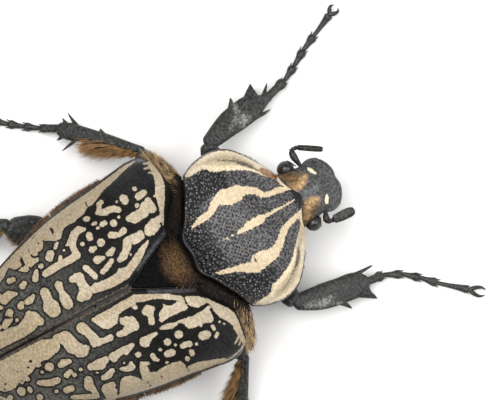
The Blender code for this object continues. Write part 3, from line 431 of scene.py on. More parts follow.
def tube_points(rings):
    """Points, faces and UV of a closed tube through rings, its ends closed to their middles."""
    count, sides = rings.shape[:2]
    index = np.arange(count * sides).reshape(count, sides)
    after = np.roll(index, -1, axis=1)
    skin = np.stack([index[:-1], index[1:], after[1:], after[:-1]], -1).reshape(-1, 4)
    caps = np.concatenate([np.stack([index[0], after[0], np.full(sides, count * sides)], -1),
                           np.stack([after[-1], index[-1], np.full(sides, count * sides + 1)], -1)])
    points = np.concatenate([rings.reshape(-1, 3), rings[0].mean(0)[None], rings[-1].mean(0)[None]])
    grid = np.stack(np.meshgrid(np.linspace(0, 1, count), np.linspace(0, 1, sides), indexing="ij"), -1)
    uv = np.concatenate([grid.reshape(-1, 2), [[0, 0.5], [1, 0.5]]])
    return points, faced_out(placed(points - points.mean(0)), [skin, caps]), uv


def tubes(name, parts, finish, nodes, side=LEFT, values=None):
    """Several closed tubes kept as one piece; values, a function of the points, gives its marking numbers."""
    points, faces, uv, start = [], [], [], 0
    for rings in parts:
        more, groups, places = tube_points(np.asarray(rings))
        faces += [group + start for group in groups]
        points.append(more)
        uv.append(places)
        start += len(more)
    points, uv = np.concatenate(points), np.concatenate(uv)
    kept = values(points) if values else None
    return mesh_piece(name, points, faces, finish, nodes, uv, kept, side, turned=True)


print("a plate's inner grid has one point for every", COARSE ** 2, "outer ones")

# %% [markdown]
# The shell's colours are real pigment, not paint on top, so every finish is one Principled shader: a base
# colour, a little clouding from noise, and then each marking laid over it by its number at the surface. Some
# layers are painted light instead of pigment: painted sheen on the wing cases, painted highlights and glints
# on the pronotum, and painted shade in the pits of the pronotum and the head. A marking's number is its
# distance inside the edge in millimetres, so the edge stays crisp however coarse the grid is. A little noise
# makes that edge wander.

# %% Finishes
EDGE = 0.05
BROAD_CLOUDS, SMALL_CLOUDS, RAGGED_EDGES = 260.0, 2400.0, 2600.0


def node_of(tree, kind, **settings):
    """A new node with its settings given by name."""
    made = tree.nodes.new(kind)
    for key, value in settings.items():
        setattr(made, key, value)
    return made


def mixed(tree, first, second, share):
    """A colour mixed from two colours, each a socket or a plain value, by a share that is a socket."""
    mix = node_of(tree, "ShaderNodeMix", data_type="RGBA", clamp_factor=True)
    tree.links.new(share, mix.inputs[0])
    for socket, colour in ((mix.inputs[6], first), (mix.inputs[7], second)):
        if isinstance(colour, tuple):
            socket.default_value = (*colour, 1)
        else:
            tree.links.new(colour, socket)
    return mix.outputs[2]


def noise_at(tree, place, scale, detail=3.0):
    """Noise on object coordinates; scale counts waves per metre."""
    made = node_of(tree, "ShaderNodeTexNoise")
    made.inputs["Scale"].default_value = scale
    made.inputs["Detail"].default_value = detail
    tree.links.new(place, made.inputs["Vector"])
    return made.outputs["Fac"]


def ranged(tree, value, low, high, to_low=0.0, to_high=1.0):
    """The value carried in a straight line from low...high to to_low...to_high, and held there outside."""
    made = node_of(tree, "ShaderNodeMapRange")
    for socket, number in zip(made.inputs[1:5], (low, high, to_low, to_high)):
        socket.default_value = number
    tree.links.new(value, made.inputs[0])
    return made.outputs[0]


def summed(tree, first, second, kind="ADD"):
    """Two numbers added, or joined by another kind of sum; each is a socket or a plain float."""
    made = node_of(tree, "ShaderNodeMath", operation=kind)
    for socket, value in zip(made.inputs, (first, second)):
        if isinstance(value, float):
            socket.default_value = value
        else:
            tree.links.new(value, socket)
    return made.outputs[0]


def new_finish(name):
    """A new material, its node tree and its Principled shader."""
    made = bpy.data.materials.new(name)
    made.use_nodes = True
    return made, made.node_tree, made.node_tree.nodes["Principled BSDF"]


def finish_of(name, base, cloud, roughness, layers=(), bump=(900, 0.1), wander=0.16, specular=0.5,
              relief=0.2):
    """A shell finish: a clouded base, then the layers of its markings.

    A layer is (attribute, colour, cloud, roughness) and may add its edge's softness and the name of an
    earlier layer that it stays within. bump is (waves per metre, strength), relief its depth in mm.
    """
    made, tree, shader = new_finish(name)
    place = node_of(tree, "ShaderNodeTexCoord").outputs["Object"]
    clouds = summed(tree, ranged(tree, noise_at(tree, place, BROAD_CLOUDS, 3.0), 0.3, 0.7, 0.0, 0.3),
                    ranged(tree, noise_at(tree, place, SMALL_CLOUDS, 2.0), 0.42, 0.6, 0.0, 0.7))
    colour = mixed(tree, base, cloud, clouds)
    rough, shares = None, {}
    ragged = ranged(tree, noise_at(tree, place, RAGGED_EDGES, 4.0), 0.25, 0.75, -wander, wander)
    for key, tint, tint_cloud, tint_rough, *more in layers:
        soft, within = (*more, *(EDGE, None)[len(more):])
        kept = node_of(tree, "ShaderNodeAttribute", attribute_name=key).outputs["Fac"]
        share = ranged(tree, summed(tree, kept, ragged), -soft, soft)
        if within:
            share = summed(tree, share, shares[within], "MULTIPLY")
        shares[key] = share
        colour = mixed(tree, colour, mixed(tree, tint, tint_cloud, clouds), share)
        change = ranged(tree, share, 0.0, 1.0, roughness if rough is None else 0.0,
                        tint_rough if rough is None else tint_rough - roughness)
        rough = change if rough is None else summed(tree, rough, change)
    tree.links.new(colour, shader.inputs["Base Color"])
    if rough is None:
        shader.inputs["Roughness"].default_value = roughness
    else:
        tree.links.new(rough, shader.inputs["Roughness"])
    shader.inputs["Specular IOR Level"].default_value = specular
    grain = node_of(tree, "ShaderNodeBump")
    grain.inputs["Strength"].default_value = bump[1]
    grain.inputs["Distance"].default_value = relief * MM
    tree.links.new(noise_at(tree, place, float(bump[0]), 5.0), grain.inputs["Height"])
    tree.links.new(grain.outputs["Normal"], shader.inputs["Normal"])
    return made


print("markings end within", 2 * EDGE, "mm")

# %% [markdown]
# Both wing cases share one dome: the middle of the back is the crest, the sides fall to the
# margin, and a rounded arch joins them. The scutellum and the collar ask the same function for
# their heights, so that no plate cuts through another.

# %% The wing cases' dome
def dome(f, out, inset=0.0):
    """Height of the wing cases' outer surface, or of a surface inset from it, at a plan place."""
    half = knots(f, MARGIN_OUT) - inset
    rim = knots(f, MARGIN_Z)
    rise = np.maximum(knots(f, CREST_Z) - rim - inset, LEAST_RISE * (knots(f, CREST_Z) - rim))
    behind = knots(np.abs(out), FRONT_F) - f
    roll = edge_fall(behind, BASE_ROLL, BASE_ROLL_LENGTH)
    return rim + (rise - roll) * arch(out / half, DOME_POWER)


def inner_edge(f):
    """Distance of a wing case's inner edge from the midline: the suture, then beside the scutellum."""
    share = np.clip(f, 0, SCUTELLUM_BASE_F + 0.2) / (SCUTELLUM_BASE_F + 0.2)
    return SUTURE + (SCUTELLUM_HALF + GAP - SUTURE) * share ** SCUTELLUM_EDGE_POWER


print("the dome's top is", round(float(dome(0.0, 0.0)), 2), "mm up over the scutellum's tip")

# %% [markdown]
# The markings of this beetle are its fingerprint, so each spot is placed one by one, as a chain of circles:
# `f out r` for each circle, circles of one chain parted by a comma, chains by a semicolon.
# The distance inside a chain is the best of r minus the distance to it, with r blended between its
# circles. The most inside of all chains gives the number that the shader reads.

# %% Spots of the wing cases, the part that the photograph shows
CASE_SPOTS = {"left": """
12 16.3 .25, 12.1 15.3 .4, 12.2 14.2 .5, 12.1 13 .65, 11.8 12 .75, 11.3 11 .75, 10.9 10 .6, 10.6 9.2 .45,
10.2 8.3 .3, 9.9 7.7 .3, 9.4 6.5 .15; 12 15.5 .25, 10.9 15.7 .12; 11.9 16.2 .22, 11.1 16.5 .08;
11.7 14.6 .15, 11.2 14.8 .08; 9.9 7.7 .3, 9.2 7.4 .6; 9.2 7.4 .6, 8.4 7.1 .95, 7.4 6.7 1, 7 6.5 .75;
9.1 10.9 .55, 9.1 9.4 .65, 8.3 10.2 .9, 7.6 9.6 .85, 6.6 9.5 .85, 5.9 9.5 .9, 5.1 9.8 .5; 9.1 12.35 .5,
8.1 12.2 .6; 8.05 13.6 .35; 7.2 11.05 .33; 5.8 13.1 .6, 5.85 12.6 .6; 4.6 13.1 .2; 10.35 11.1 .2;
5.6 6.8 .55, 5.4 6.4 .6, 4.6 6.5 .85, 4.2 6.3 .6; 4.2 6.9 .5, 3.3 6.9 .5; 3.2 6.7 .65, 2.8 6 .7, 2.2 5.4 .55,
1.5 4.9 .65, .8 4.7 .45; 2.7 4.6 .22; 3.5 8.5 .5, 2.6 8.3 .38, 1.9 8.5 .5, 1.4 8.8 .55; 3.8 10.75 .25;
2.6 10.3 .58; 4.3 11.8 .45, 3.7 12.3 .5, 3 12.5 .55, 2.2 12.5 .6, 1.5 12.8 .5, 1.1 13 .35; 1.6 13.4 .4,
1.9 14.1 .38, 2.4 14.2 .38; 1.3 11 .42, .9 11 .42; .05 10.8 .28; 0 11.7 .28, -.3 11.7 .3; -.8 12.9 .42,
-1.1 13 .42; .6 6.7 .35, 0 6.4 .55, -.4 6.4 .4; -.6 8.5 .63; -1.8 8.2 .3, -2.35 8.2 .52; -1.75 10.45 .5,
-1.8 10 .5; -3.3 9.7 .38; -1.4 6.2 .3, -2.3 6.35 .68; -.4 5.2 .35, -1 4.85 .4, -1.8 4.5 .42, -2.5 4.3 .42;
-3.9 4.2 .45, -4.2 5.1 .45, -4.6 6.1 .5; 6.1 5.2 .15, 5.3 4.8 .4, 4.2 4.1 .55, 3.2 3.5 .65, 2.2 2.8 .8,
1.2 2.4 .8, .2 2.4 .95, -1 2.2 .8, -2.5 2.2 .8, -4 2.4 .75, -5 2.5 .65; .1 2.8 .6, 0 3.3 .3; -4.5 3.1 .25;
-6.2 5.3 .75, -6.3 4.2 .7, -6.3 3 .9, -6.5 2.4 .95; -6.8 5.4 .75, -7.4 5.5 .5; -7 2.4 .9, -7.5 2.3 .65;
-2.1 11.7 .35, -2.8 12 .6, -3.7 11.7 .65, -4.5 11 .65, -4.9 10 .5, -4.9 9.2 .5, -4.9 8.5 .6; -4.7 11.1 .4,
-5.7 10.7 .15; -4.9 8.5 .6, -6.5 8.4 .6, -8 8.5 .55, -9.5 8.4 .65, -10.8 8.3 .5; -7.4 9.5 .3, -7.8 8.9 .35;
-6.4 10.2 .22; -6.9 11.7 .25, -7.5 11.2 .3; -9.7 5.7 .65, -9.8 4.6 .45, -9.8 3.4 .8, -9.8 2.4 .85;
-12.2 5.7 .75, -12.3 4.5 .75, -12.4 3.2 1.25, -12.3 2.6 1.15; -14.1 6.1 .3, -14.9 5.7 .55, -15.4 5.7 .5;
-16.4 5.9 .4, -16.7 5.6 .55; -15 2 .6, -16 2.8 1.3, -17.2 2.3 1.2, -18.5 2 1, -20 2.2 1.15, -21.5 2.2 1.15,
-23 2.6 1.5, -25 3 1.8; -16.1 3.9 .5; -18.8 5.5 .6; -18.3 3.9 .28; -19.8 4.4 .55, -20.5 4 .5; -8.6 10.7 .6,
-9 10.3 .65; -10.85 9.7 .42; -11.9 9.3 .35, -12.6 8.3 .48; -14.5 8.5 .4, -15 8.3 .5; -15.8 9.9 .35,
-16.5 10 .45; -16.4 7.7 .25, -17.6 8 .7, -18.6 7.8 .8
""", "right": """
12 16.7 .25, 12 15.3 .4, 12.1 14 .5, 12.2 12.8 .6, 12 11.6 .85, 11.4 10.6 .95, 10.9 9.6 .75, 10.5 8.7 .5,
10.2 7.9 .3, 9.8 7.4 .3; 11.8 15 .2, 10.6 15.8 .1; 11.8 15.7 .15, 11 16.3 .08; 12 16.5 .2, 11 17.1 .1,
9 17.55 .07, 7.4 17.6 .05; 9.8 7.4 .3, 9.2 7.3 .6; 10.1 11.5 .18; 10.6 12.1 .15; 9.2 7.3 .6, 8.5 7 .9,
7.8 6.5 .8, 7.3 5.9 .5; 9.6 8.6 .25, 9 9.1 .6, 8.9 10.3 .65, 8 9.5 .95, 7 9.6 .9, 6 9.4 .95, 5.5 9 .6,
4.9 8.5 .25, 4.3 8.4 .18; 7.3 10.3 .3, 7.2 10.7 .18; 3.9 8.5 .3, 3 8.4 .48, 2.1 8.1 .42, 1.4 8 .2;
6.5 5.3 .3, 5.6 4.7 .4, 4.6 3.9 .5, 3.6 3.1 .6, 2.4 2.5 .7, 1.2 2.2 .75, .2 1.9 .65, -1.5 2 .7, -3 2 .7,
-4.6 2.7 1.3, -5.6 2.8 1.4, -6.4 2.3 .95, -7.3 1.8 .35; -.6 3.1 .4; 6.2 6.7 .6, 5.6 6.3 .85, 4.6 6.4 .75,
3.6 6.1 .9, 2.9 6.3 .8, 2.2 6.8 .4; 3.6 5.2 .3, 3.6 4.85 .12; 6.3 5.8 .45, 6.4 5.2 .4; .6 6.4 .5, .9 5.6 .45,
1 4.8 .75, 1 4.4 .75, .4 4.5 .5; 1.7 4.6 .4; -2.1 4.7 .7, -2.1 5.7 .75; -2.9 4.4 .8, -3.3 4.2 .6;
-2.8 5.5 .9, -4 5.9 .5, -4.8 5.7 .5; -6.3 5.5 .5, -7.3 5.5 .45, -8.2 5.3 .5; .3 8.35 .28, -.8 8.4 .45,
-1.8 8.7 .9; -3.9 8.2 .4, -4.9 8.4 .6, -5.3 8.8 .4; -5.2 8.2 .5, -6.5 8.3 .55, -7.4 8.5 .8; 8.8 11.6 .28,
8.8 12.1 .28; 8.9 13 .28, 8.45 13.35 .28; 7.3 12.3 .7, 6.7 12.2 .7; 5.2 12.9 .24; 4.2 12.35 .5, 3.6 12.1 .45,
3.1 12.15 .42; 3.9 13.6 .4, 3.8 14 .38; 2.8 14.3 .4; 3.45 10.2 .65; 2.2 11.4 .24; 1.3 10.4 .58; 1.1 12.2 .6,
.4 12.1 .55; -.3 10.95 .28; -.35 13.3 .24; -1.8 11.2 .42, -1.8 11.8 .4, -1.4 12.3 .22; -3.75 10 .48;
-6.4 10.1 .2; -5.4 10.6 .3, -5.6 11.3 .55, -6.4 11.2 .45, -7.2 10.8 .28; -3.1 12 .3, -3.9 11.6 .4,
-4.1 12.6 .7, -4.2 13.8 .75; -9.6 2.05 .88, -9.1 3 .7, -8.75 4.2 .72, -8.4 5.3 .6; -9.2 4.5 .4, -9.2 5.4 .36;
-10.65 5.2 .6, -11.3 5.3 .98, -12.1 5.5 .5; -11.5 4.9 .9, -12.35 4 1.15, -12.5 2.8 1.1, -12.7 2.2 1.1,
-14 1.6 .6; -15.2 2.4 1.2, -16.5 2.3 1.6, -18 2.1 1.6, -19.5 2.3 1.8, -21 2.6 2.1, -22.8 2.6 2.2,
-24.5 3.2 2.4; -18.6 4 .4; -14 5.8 .4, -14.9 5.6 .6, -15.5 5.7 .4; -17.2 5.1 .72; -18.65 5.3 .28;
-21.3 5.2 .38; -22.4 5.3 .25; -8.8 8.3 .6, -9.8 8.5 .9, -11.3 8.2 .55; -8.6 10.3 .4, -9.5 10.7 .55,
-10.4 10.7 .42; -10.9 9.5 .22; -9.8 12.4 .55, -10.8 12.6 .9, -10.8 13.8 .95; -10 13.4 .5; -12.7 9.9 .65,
-13.1 10.8 .75, -12.8 11.6 .5, -12.8 12.6 .4; -12.8 12.9 .35, -14.5 12.1 .45, -16.3 11.2 .35; -12.95 7.8 .3;
-14.25 8.1 .35; -14.6 7.3 .4, -15.4 7.6 .45; -17.1 7.6 .5, -18.2 7.5 .55, -19.2 7 .5, -19.9 6.6 .4;
-15.8 9.8 .5, -16.6 9.7 .52; -18.15 9.1 .3
"""}
# The broad cream band along the margin: its inner edge as (f, out), and small spots in it.
BAND_INNER = {
    "left": (
        (-29, 2.5), (-26, 5.6), (-23, 8), (-20, 9.6), (-17, 11), (-15.7, 12), (-15, 11.3),
        (-14.3, 10.6), (-13.3, 9.9), (-12, 10.4), (-10.6, 10.7), (-10.4, 11.6), (-9.2, 12.2),
        (-8.8, 13.1), (-8, 12.8), (-7, 12.2), (-6, 12.1), (-5.5, 12.7), (-5, 13.3), (-4, 13.5),
        (-3, 13.4), (-2, 13.7), (-1, 13.85), (0, 14.5), (1, 14.55), (2, 15), (3, 15.5), (4, 15.9),
        (5, 16.1), (6, 16.4), (7.3, 16.8), (8.5, 17.15), (10, 17.5), (10.4, 18.2)),
    "right": (
        (-29, 3), (-26, 6.5), (-23, 9.4), (-20, 11.2), (-14, 13.6), (-9.6, 14.4), (-8.8, 13.2),
        (-8.3, 12.4), (-7.5, 12.1), (-6.5, 12.4), (-5.5, 13.4), (-5.1, 14.2), (-4.8, 13), (-3.4, 13.4),
        (-2.5, 13.9), (-1.8, 13.7), (-0.5, 13.7), (0.5, 13.8), (1.7, 14.1), (2.1, 15.5), (3, 15.5),
        (4, 15.6), (5, 16), (6.5, 16.5), (8, 17.1), (9, 18.2)),
}
DARK_DOTS = {"left": """
.1 14.4 .12, .1 15.3 .14; -6.9 13.1 .06, -6.7 13.7 .24, -6.8 14.3 .22; -3 14.8 .15; 9.2 6.7 .2; -8.7 13.2 .1,
-8.5 12.6 .2; -9.6 13.15 .16; -10.1 12.1 .05, -10.2 11.7 .25, -10.3 11.3 .3, -10.8 11.35 .16, -11.2 11.5 .2;
-11.3 13.4 .05, -11.6 12.8 .11, -11.55 12.1 .13, -11.3 11.5 .24; -12.55 10.2 .2, -12.6 10.5 .1;
-9.5 14.6 .07, -10.4 14.2 .07; -14.9 13.1 .08, -15.4 13.3 .06; -18.9 4.6 .1, -19.3 4.85 .24, -19.9 5.3 .34;
-13.1 12.5 .14, -13.3 11.9 .3, -13.25 11.2 .26, -14 11.1 .1, -14.6 10.9 .3
""", "right": """
2 15.2 .14, 2 16.2 .12; -2.25 14.9 .2; -4.6 14.7 .2; -4.6 15.4 .2; -19.5 2.9 .3; -20.3 3.6 .2; -22.2 3.4 .2;
-25 4.3 .2; -25.5 5 .2; -8.15 7.4 .1, -8.1 9.4 .1; -1.4 3.2 .2, -2.4 3 .28, -3.3 3.15 .25, -3.9 3.6 .15,
-4.25 4.3 .13, -4.4 5 .26; 7.1 4.9 .1, 6.9 5.6 .13, 6.85 6.4 .1; -9 12.6 .08, -9.35 13.8 .08
"""}


CHAIN_REACH, FAR_OUTSIDE = 2.5, -5.0


def inside_chains(text, f, out):
    """How far inside the nearest chain of circles each place is, in millimetres; outside is negative."""
    f, out = np.asarray(f, np.float32), np.asarray(out, np.float32)
    best = np.full(f.shape, FAR_OUTSIDE, np.float32)
    for chain in text.split(";"):
        circles = np.array([[float(number) for number in circle.split()] for circle in chain.split(",")])
        if len(circles) == 1:
            circles = np.repeat(circles, 2, axis=0)
        low, high = circles.min(0) - CHAIN_REACH, circles.max(0) + CHAIN_REACH
        near = (f > low[0]) & (f < high[0]) & (out > low[1]) & (out < high[1])
        at_f, at_out, found = f[near], out[near], best[near]
        for (fa, sa, ra), (fb, sb, rb) in zip(circles[:-1], circles[1:]):
            long = max((fb - fa) ** 2 + (sb - sa) ** 2, 1e-9)
            t = np.clip(((at_f - fa) * (fb - fa) + (at_out - sa) * (sb - sa)) / long, 0, 1)
            away = np.hypot(at_f - fa - t * (fb - fa), at_out - sa - t * (sb - sa))
            found = np.maximum(found, ra + (rb - ra) * t - away)
        best[near] = found
    return best


print("spots are", {name: len(chains.split(";")) for name, chains in CASE_SPOTS.items()}, "chains")

# %% [markdown]
# A wing case is one arched shell. Its surface is the CAD's dome function on a fine grid, with two
# low ribs along it, a raised rim by the suture and a rounded edge. Both cases have one shape and
# each its own markings. Cream lies where a chain or the margin band says so. What is left is black
# velvet, with a thin dark line round the outer edge.

# %% Wing cases
CASE_GRID = (281, 145)
# Ribs: distance from the midline where the case is widest, height and half width.
RIBS = ((7.6, 0.11, 0.5), (11.0, 0.09, 0.5))
CASE_EDGE_FALL, SUTURE_BEAD, SUTURE_BEAD_IN, SUTURE_BEAD_WIDE = (0.35, 0.45), 0.1, 0.55, 0.22
BORDER = 0.95
# Where the photograph ends on each side, and the seed of the spots beyond.
CUT_OFF = {"left": (-19.5, 7), "right": (-21.5, 11)}
HIDDEN_STEP, HIDDEN_APART = 1.9, 2.1


def surface_rows(count, columns):
    """Places over a wing case: rows from the front edge to the tip, columns from the inner edge out."""
    spread = np.sin(np.linspace(0, 0.5 * np.pi, columns)) ** (2 / DOME_POWER)
    front = knots(FRONT_F[0][0] + (FRONT_F[-1][0] - FRONT_F[0][0]) * spread, FRONT_F)
    down = 0.5 - 0.5 * np.cos(np.pi * np.linspace(0.0, 1.0, count))
    f = front[None] + (MARGIN_OUT[0][0] - front[None]) * down[:, None]
    return f, spread


def case_skin():
    """Outer and inner points of a wing case, with the places of its two edges in each row.

    z is the dome, plus each rib as a bell curve across, less a parabola's fall near the edges, plus a
    low bead along the suture.
    """
    f, spread = surface_rows(*CASE_GRID)
    inner, outer = inner_edge(f), knots(f, MARGIN_OUT)
    thick = np.minimum(SHELL, 0.5 * (outer - inner))
    out = inner + (outer - inner) * spread
    z = dome(f, out)
    along = ramp(f, -27, 6) * ramp(f, 9, -4)
    for place, high, wide in RIBS:
        leaning = place * np.clip(outer / 16.5, 0.4, 1)
        z = z + high * along * bell(out, leaning, wide)
    edge = np.minimum(np.minimum(out - inner, (outer - out) * 1.5), knots(out, FRONT_F) - f)
    z = z - edge_fall(edge, *CASE_EDGE_FALL)
    z = z + SUTURE_BEAD * bell(out - inner, SUTURE_BEAD_IN, SUTURE_BEAD_WIDE) * ramp(f, 2, -3)
    out_under = inner + (outer - thick - inner) * spread
    under = np.minimum(dome(f, out_under, thick), z - 0.25)
    return np.stack([f, out, z], -1), np.stack([f, out_under, under], -1), inner, outer


def hidden_spots(side_name, f, out):
    """Seeded spots for the part of a wing case that the photograph cuts off, one in each loose cell."""
    start, seed = CUT_OFF[side_name]
    rng = np.random.default_rng(seed)
    best = np.full(f.shape, FAR_OUTSIDE)
    for row in np.arange(start, -28.5, -HIDDEN_STEP):
        for column in np.arange(4.4, float(knots(row, MARGIN_OUT)) - 1.6, HIDDEN_APART):
            place = np.array((row, column)) + rng.uniform(-0.5, 0.5, 2)
            size = rng.uniform(0.35, 0.75)
            best = np.maximum(best, size - np.hypot(f - place[0], (out - place[1]) * rng.uniform(0.7, 1.1)))
    return best


def case_marks(side_name, f, out, inner, outer):
    """Numbers of a wing case's markings, and of painted sheen on its rear (except in a dark line round each
    spot), on its shoulder and along its rims.
    """
    spots = np.maximum(inside_chains(CASE_SPOTS[side_name], f, out), hidden_spots(side_name, f, out))
    band_f, band_out = np.array(BAND_INNER[side_name], float).T
    band = np.minimum(out - np.interp(f, band_f, band_out), outer - 0.45 - out)
    spots = np.maximum(spots, band)
    cream = np.minimum(spots, -inside_chains(DARK_DOTS[side_name], f, out))
    cream = np.minimum(cream, out - inner - BORDER * np.where(f > -8, 1, 0.55))
    by_margin = np.clip((out - outer + 3.6) / 1.6, -0.6, 1)
    by_suture = np.where(f < 4, np.clip((inner + 2.3 - out) / 0.8, -0.6, 0.6), -0.6)
    tan = 0.45 * np.clip(np.clip((-11 - f) / 8, -0.6, 1) + 0.6 + np.maximum(by_margin, by_suture), -1, 1)
    suture = np.where(f < 0.2, 0.5 - (out - inner), -1.0)
    # Shoulder patch: really glossier, and also coloured lighter as a painted sheen.
    gloss_and_painted_sheen = 2.2 - np.hypot((f - 8.2) / 1.5, (out - 14.6) / 1.1)
    # Painted sheen: the black turns greyer from f = -9.5 towards the tail, except in a dark line round each
    # cream spot.
    painted_rear_sheen = np.minimum(np.clip((-9.5 - f) / 13, -1.2, 0.8), -4 * cream - 1.3)
    # Painted sheen: lighter strips along the outer rim near the shoulder and along the inner rim beside the
    # scutellum.
    outer_sheen = np.minimum(0.3 - np.abs(outer - 0.5 - out), np.minimum(f - 6.8, 11.6 - f))
    inner_sheen = np.minimum(0.2 - np.abs(out - inner - 0.5), np.minimum(f - 2.5, 9.0 - f))
    sheen = np.maximum(outer_sheen, inner_sheen)
    return {"cream": cream, "tan": tan, "suture": suture, "gloss_and_painted_sheen": gloss_and_painted_sheen, "painted_rear_sheen": painted_rear_sheen, "sheen": sheen}


# Black velvet with painted sheen on its rear, its shoulder and its rims, brown along the suture, cream or tan
# where the spots lie.
CASE_FINISH = finish_of("case_finish", (0.002, 0.002, 0.002), (0.01, 0.009, 0.007), 0.65, (
    ("painted_rear_sheen", (0.032, 0.031, 0.027), (0.115, 0.11, 0.096), 0.6, 0.6),
    ("gloss_and_painted_sheen", (0.006, 0.006, 0.0065), (0.02, 0.02, 0.021), 0.42, 1.4),
    ("sheen", (0.03, 0.03, 0.033), (0.11, 0.108, 0.115), 0.4, 0.35),
    ("suture", (0.028, 0.023, 0.017), (0.115, 0.097, 0.073), 0.6),
    ("cream", (0.33, 0.275, 0.195), (0.5, 0.43, 0.325), 0.55),
    ("tan", (0.24, 0.19, 0.12), (0.43, 0.34, 0.22), 0.55, 0.5, "cream"),
), bump=(2600, 0.3), wander=0.09, specular=0.12)
upper, lower, inner, outer = case_skin()
for side_name, side in SIDES.items():
    marks = case_marks(side_name, upper[..., 0], upper[..., 1], inner, outer)
    case = plate("wing_case_" + side_name, upper, lower, CASE_FINISH, ["elytron_" + side_name],
                 side, marks)
    print(case.name, "covers", round(float((marks["cream"] > 0).mean()), 2), "of its shell in cream")

# %% [markdown]
# Beetle shell is rarely smooth. The pronotum (the shield behind the head) has sparse raised grains
# at the back, pits over its middle field and fine pits in front. Each is real: a bell curve at a
# seeded place, added to the height of the grid or taken from it. Places are sorted into squares,
# so that each point of the grid only asks the few grains near it.

# %% Grains and pits
def grains(f, out, centres, radius):
    """Height 0 to 1 of the nearest grain's bell curve: exp of minus the square of distance over radius."""
    size = 2.2 * float(np.max(radius))
    low = np.array((f.min(), out.min())) - size
    across = int((out.max() - low[1]) / size) + 3
    cells = {}
    for number, place in enumerate(((centres - low) // size).astype(int)):
        cells.setdefault(place[0] * across + place[1], []).append(number)
    deep = max((len(found) for found in cells.values()), default=1)
    most = int((f.max() - low[0]) / size) + 3
    table = np.full((most * across + across + 2, deep), -1)
    for key, found in cells.items():
        if 0 <= key < len(table):
            table[key, :len(found)] = found
    home = ((f - low[0]) // size).astype(int) * across + ((out - low[1]) // size).astype(int)
    best = np.zeros(f.shape)
    for step in (-across - 1, -across, -across + 1, -1, 0, 1, across - 1, across, across + 1):
        near = table[np.clip(home + step, 0, len(table) - 1)]
        for column in range(deep):
            chosen = near[..., column]
            place = centres[chosen]
            away = ((f - place[..., 0]) ** 2 + (out - place[..., 1]) ** 2) / radius[chosen] ** 2
            best = np.maximum(best, np.where(chosen >= 0, np.exp(-away), 0))
    return best


def scattered(seed, f_range, out_range, spacing, jitter=0.35):
    """Seeded places and radii: a grid of the given spacing, every second row shifted, each place jittered."""
    rng = np.random.default_rng(seed)
    rows = np.arange(*f_range, spacing * 0.9)
    columns = np.arange(*out_range, spacing)
    f, out = np.meshgrid(rows, columns, indexing="ij")
    out = out + np.where(np.arange(len(rows)) % 2, spacing / 2, 0)[:, None]
    places = np.stack([f, out], -1).reshape(-1, 2) + rng.normal(0, jitter * spacing, (f.size, 2))
    return places, spacing * rng.uniform(0.24, 0.42, f.size)


print("places 0.5 mm apart on a square of 5 mm:", len(scattered(1, (0, 5), (0, 5), 0.5)[0]))

# %% [markdown]
# The pronotum's two bent cream stripes, its short middle line and its cream sides come from the
# same kind of chains. Here out is signed, minus on the beetle's left, because the two sides differ.
# Its surface is ruled between its rear and front edge, and the head's is made the same way.

# %% Pronotum
PRO_SPOTS = """
29.7 0 .12, 27 0 .2, 24.5 .05 .3, 23.5 .1 .75, 22.5 .15 .65, 21.5 .15 .65, 20 .35 .35, 19.2 .35 .15;
18.4 .3 .18; 17.5 .3 .17; 16.9 .3 .15; 30.7 -1.5 .18, 30 -2.2 .36, 28 -2.65 .5, 26.5 -2.8 .4, 25.5 -3.2 .45,
25 -4.2 .5, 24 -4.85 .65, 23 -5.25 .75, 22 -5.35 1.3, 21 -5.4 1.35, 20 -5.75 1.25, 19.2 -5.9 .8, 18 -5.3 .65,
17 -4.6 .5, 16 -4.35 .55, 15 -4.25 .6, 14 -4 .3, 13.1 -3.6 .05; 30.7 1.3 .18, 30 2.1 .32, 28 2.65 .45,
27 3 .45, 26 3.45 .55, 25 4.4 .6, 24 5.35 .65, 23 5.85 .85, 22 5.95 1.05, 21 5.9 1.3, 20.3 5.95 1.4,
19.5 6.5 .9, 18 6 .8, 17 5.45 .55, 16 5.2 .4, 15 4.9 .4, 14 4.65 .3, 13.2 4.3 .05
"""
PRO_SIDES = {
    -1: ((15.7, 12.4), (16.2, 11.3), (17, 11.2), (19, 11.3), (19.7, 11), (20, 10.3), (21, 9.8), (22, 9.4),
         (23, 8.95), (24, 8.5), (25, 8), (26, 7.2), (27, 6.05), (28.9, 4.1), (31, 3)),
    1: ((15.7, 12.2), (16, 11.6), (18, 11.5), (19.5, 11.3), (19.8, 10.8), (20.2, 10.2), (21, 10.1),
        (22, 9.75), (23, 9.3), (24, 8.85), (25, 8.15), (26, 7), (27, 5.85), (28.9, 3.9), (31, 3))}
BROWN_LINES = "28.8 -4.8 .3, 28.1 -5.7 .5, 27.4 -6.7 .34"
DARK_LINES = """
27 -6.8 .1, 26.6 -7.3 .18, 26.1 -8 .3, 25.6 -8.6 .34, 25 -9.2 .34, 24.4 -9.9 .2, 23.4 -10.6 .12,
22 -11.3 .05; 26.8 6.9 .1, 26.5 7.4 .24, 26.1 8.2 .3, 25.6 8.8 .3, 25 9.4 .24, 24.4 9.9 .18, 23.4 10.7 .1,
21.6 11.7 .05
"""
SIDE_SHADES = """
26.6 -8.2 .4, 25.6 -9.4 .6, 24.5 -10.2 .8, 23.5 -10.7 .85, 22.5 -11.3 .7, 21.5 -11.7 .55, 19 -12.1 .35;
28.2 5.3 .45, 27.4 6.5 .4, 26.2 8.3 .45, 25.2 9.6 .55, 24.2 10.4 .75, 23 11.1 .8, 21.8 11.6 .65, 20.4 11.9 .4
"""
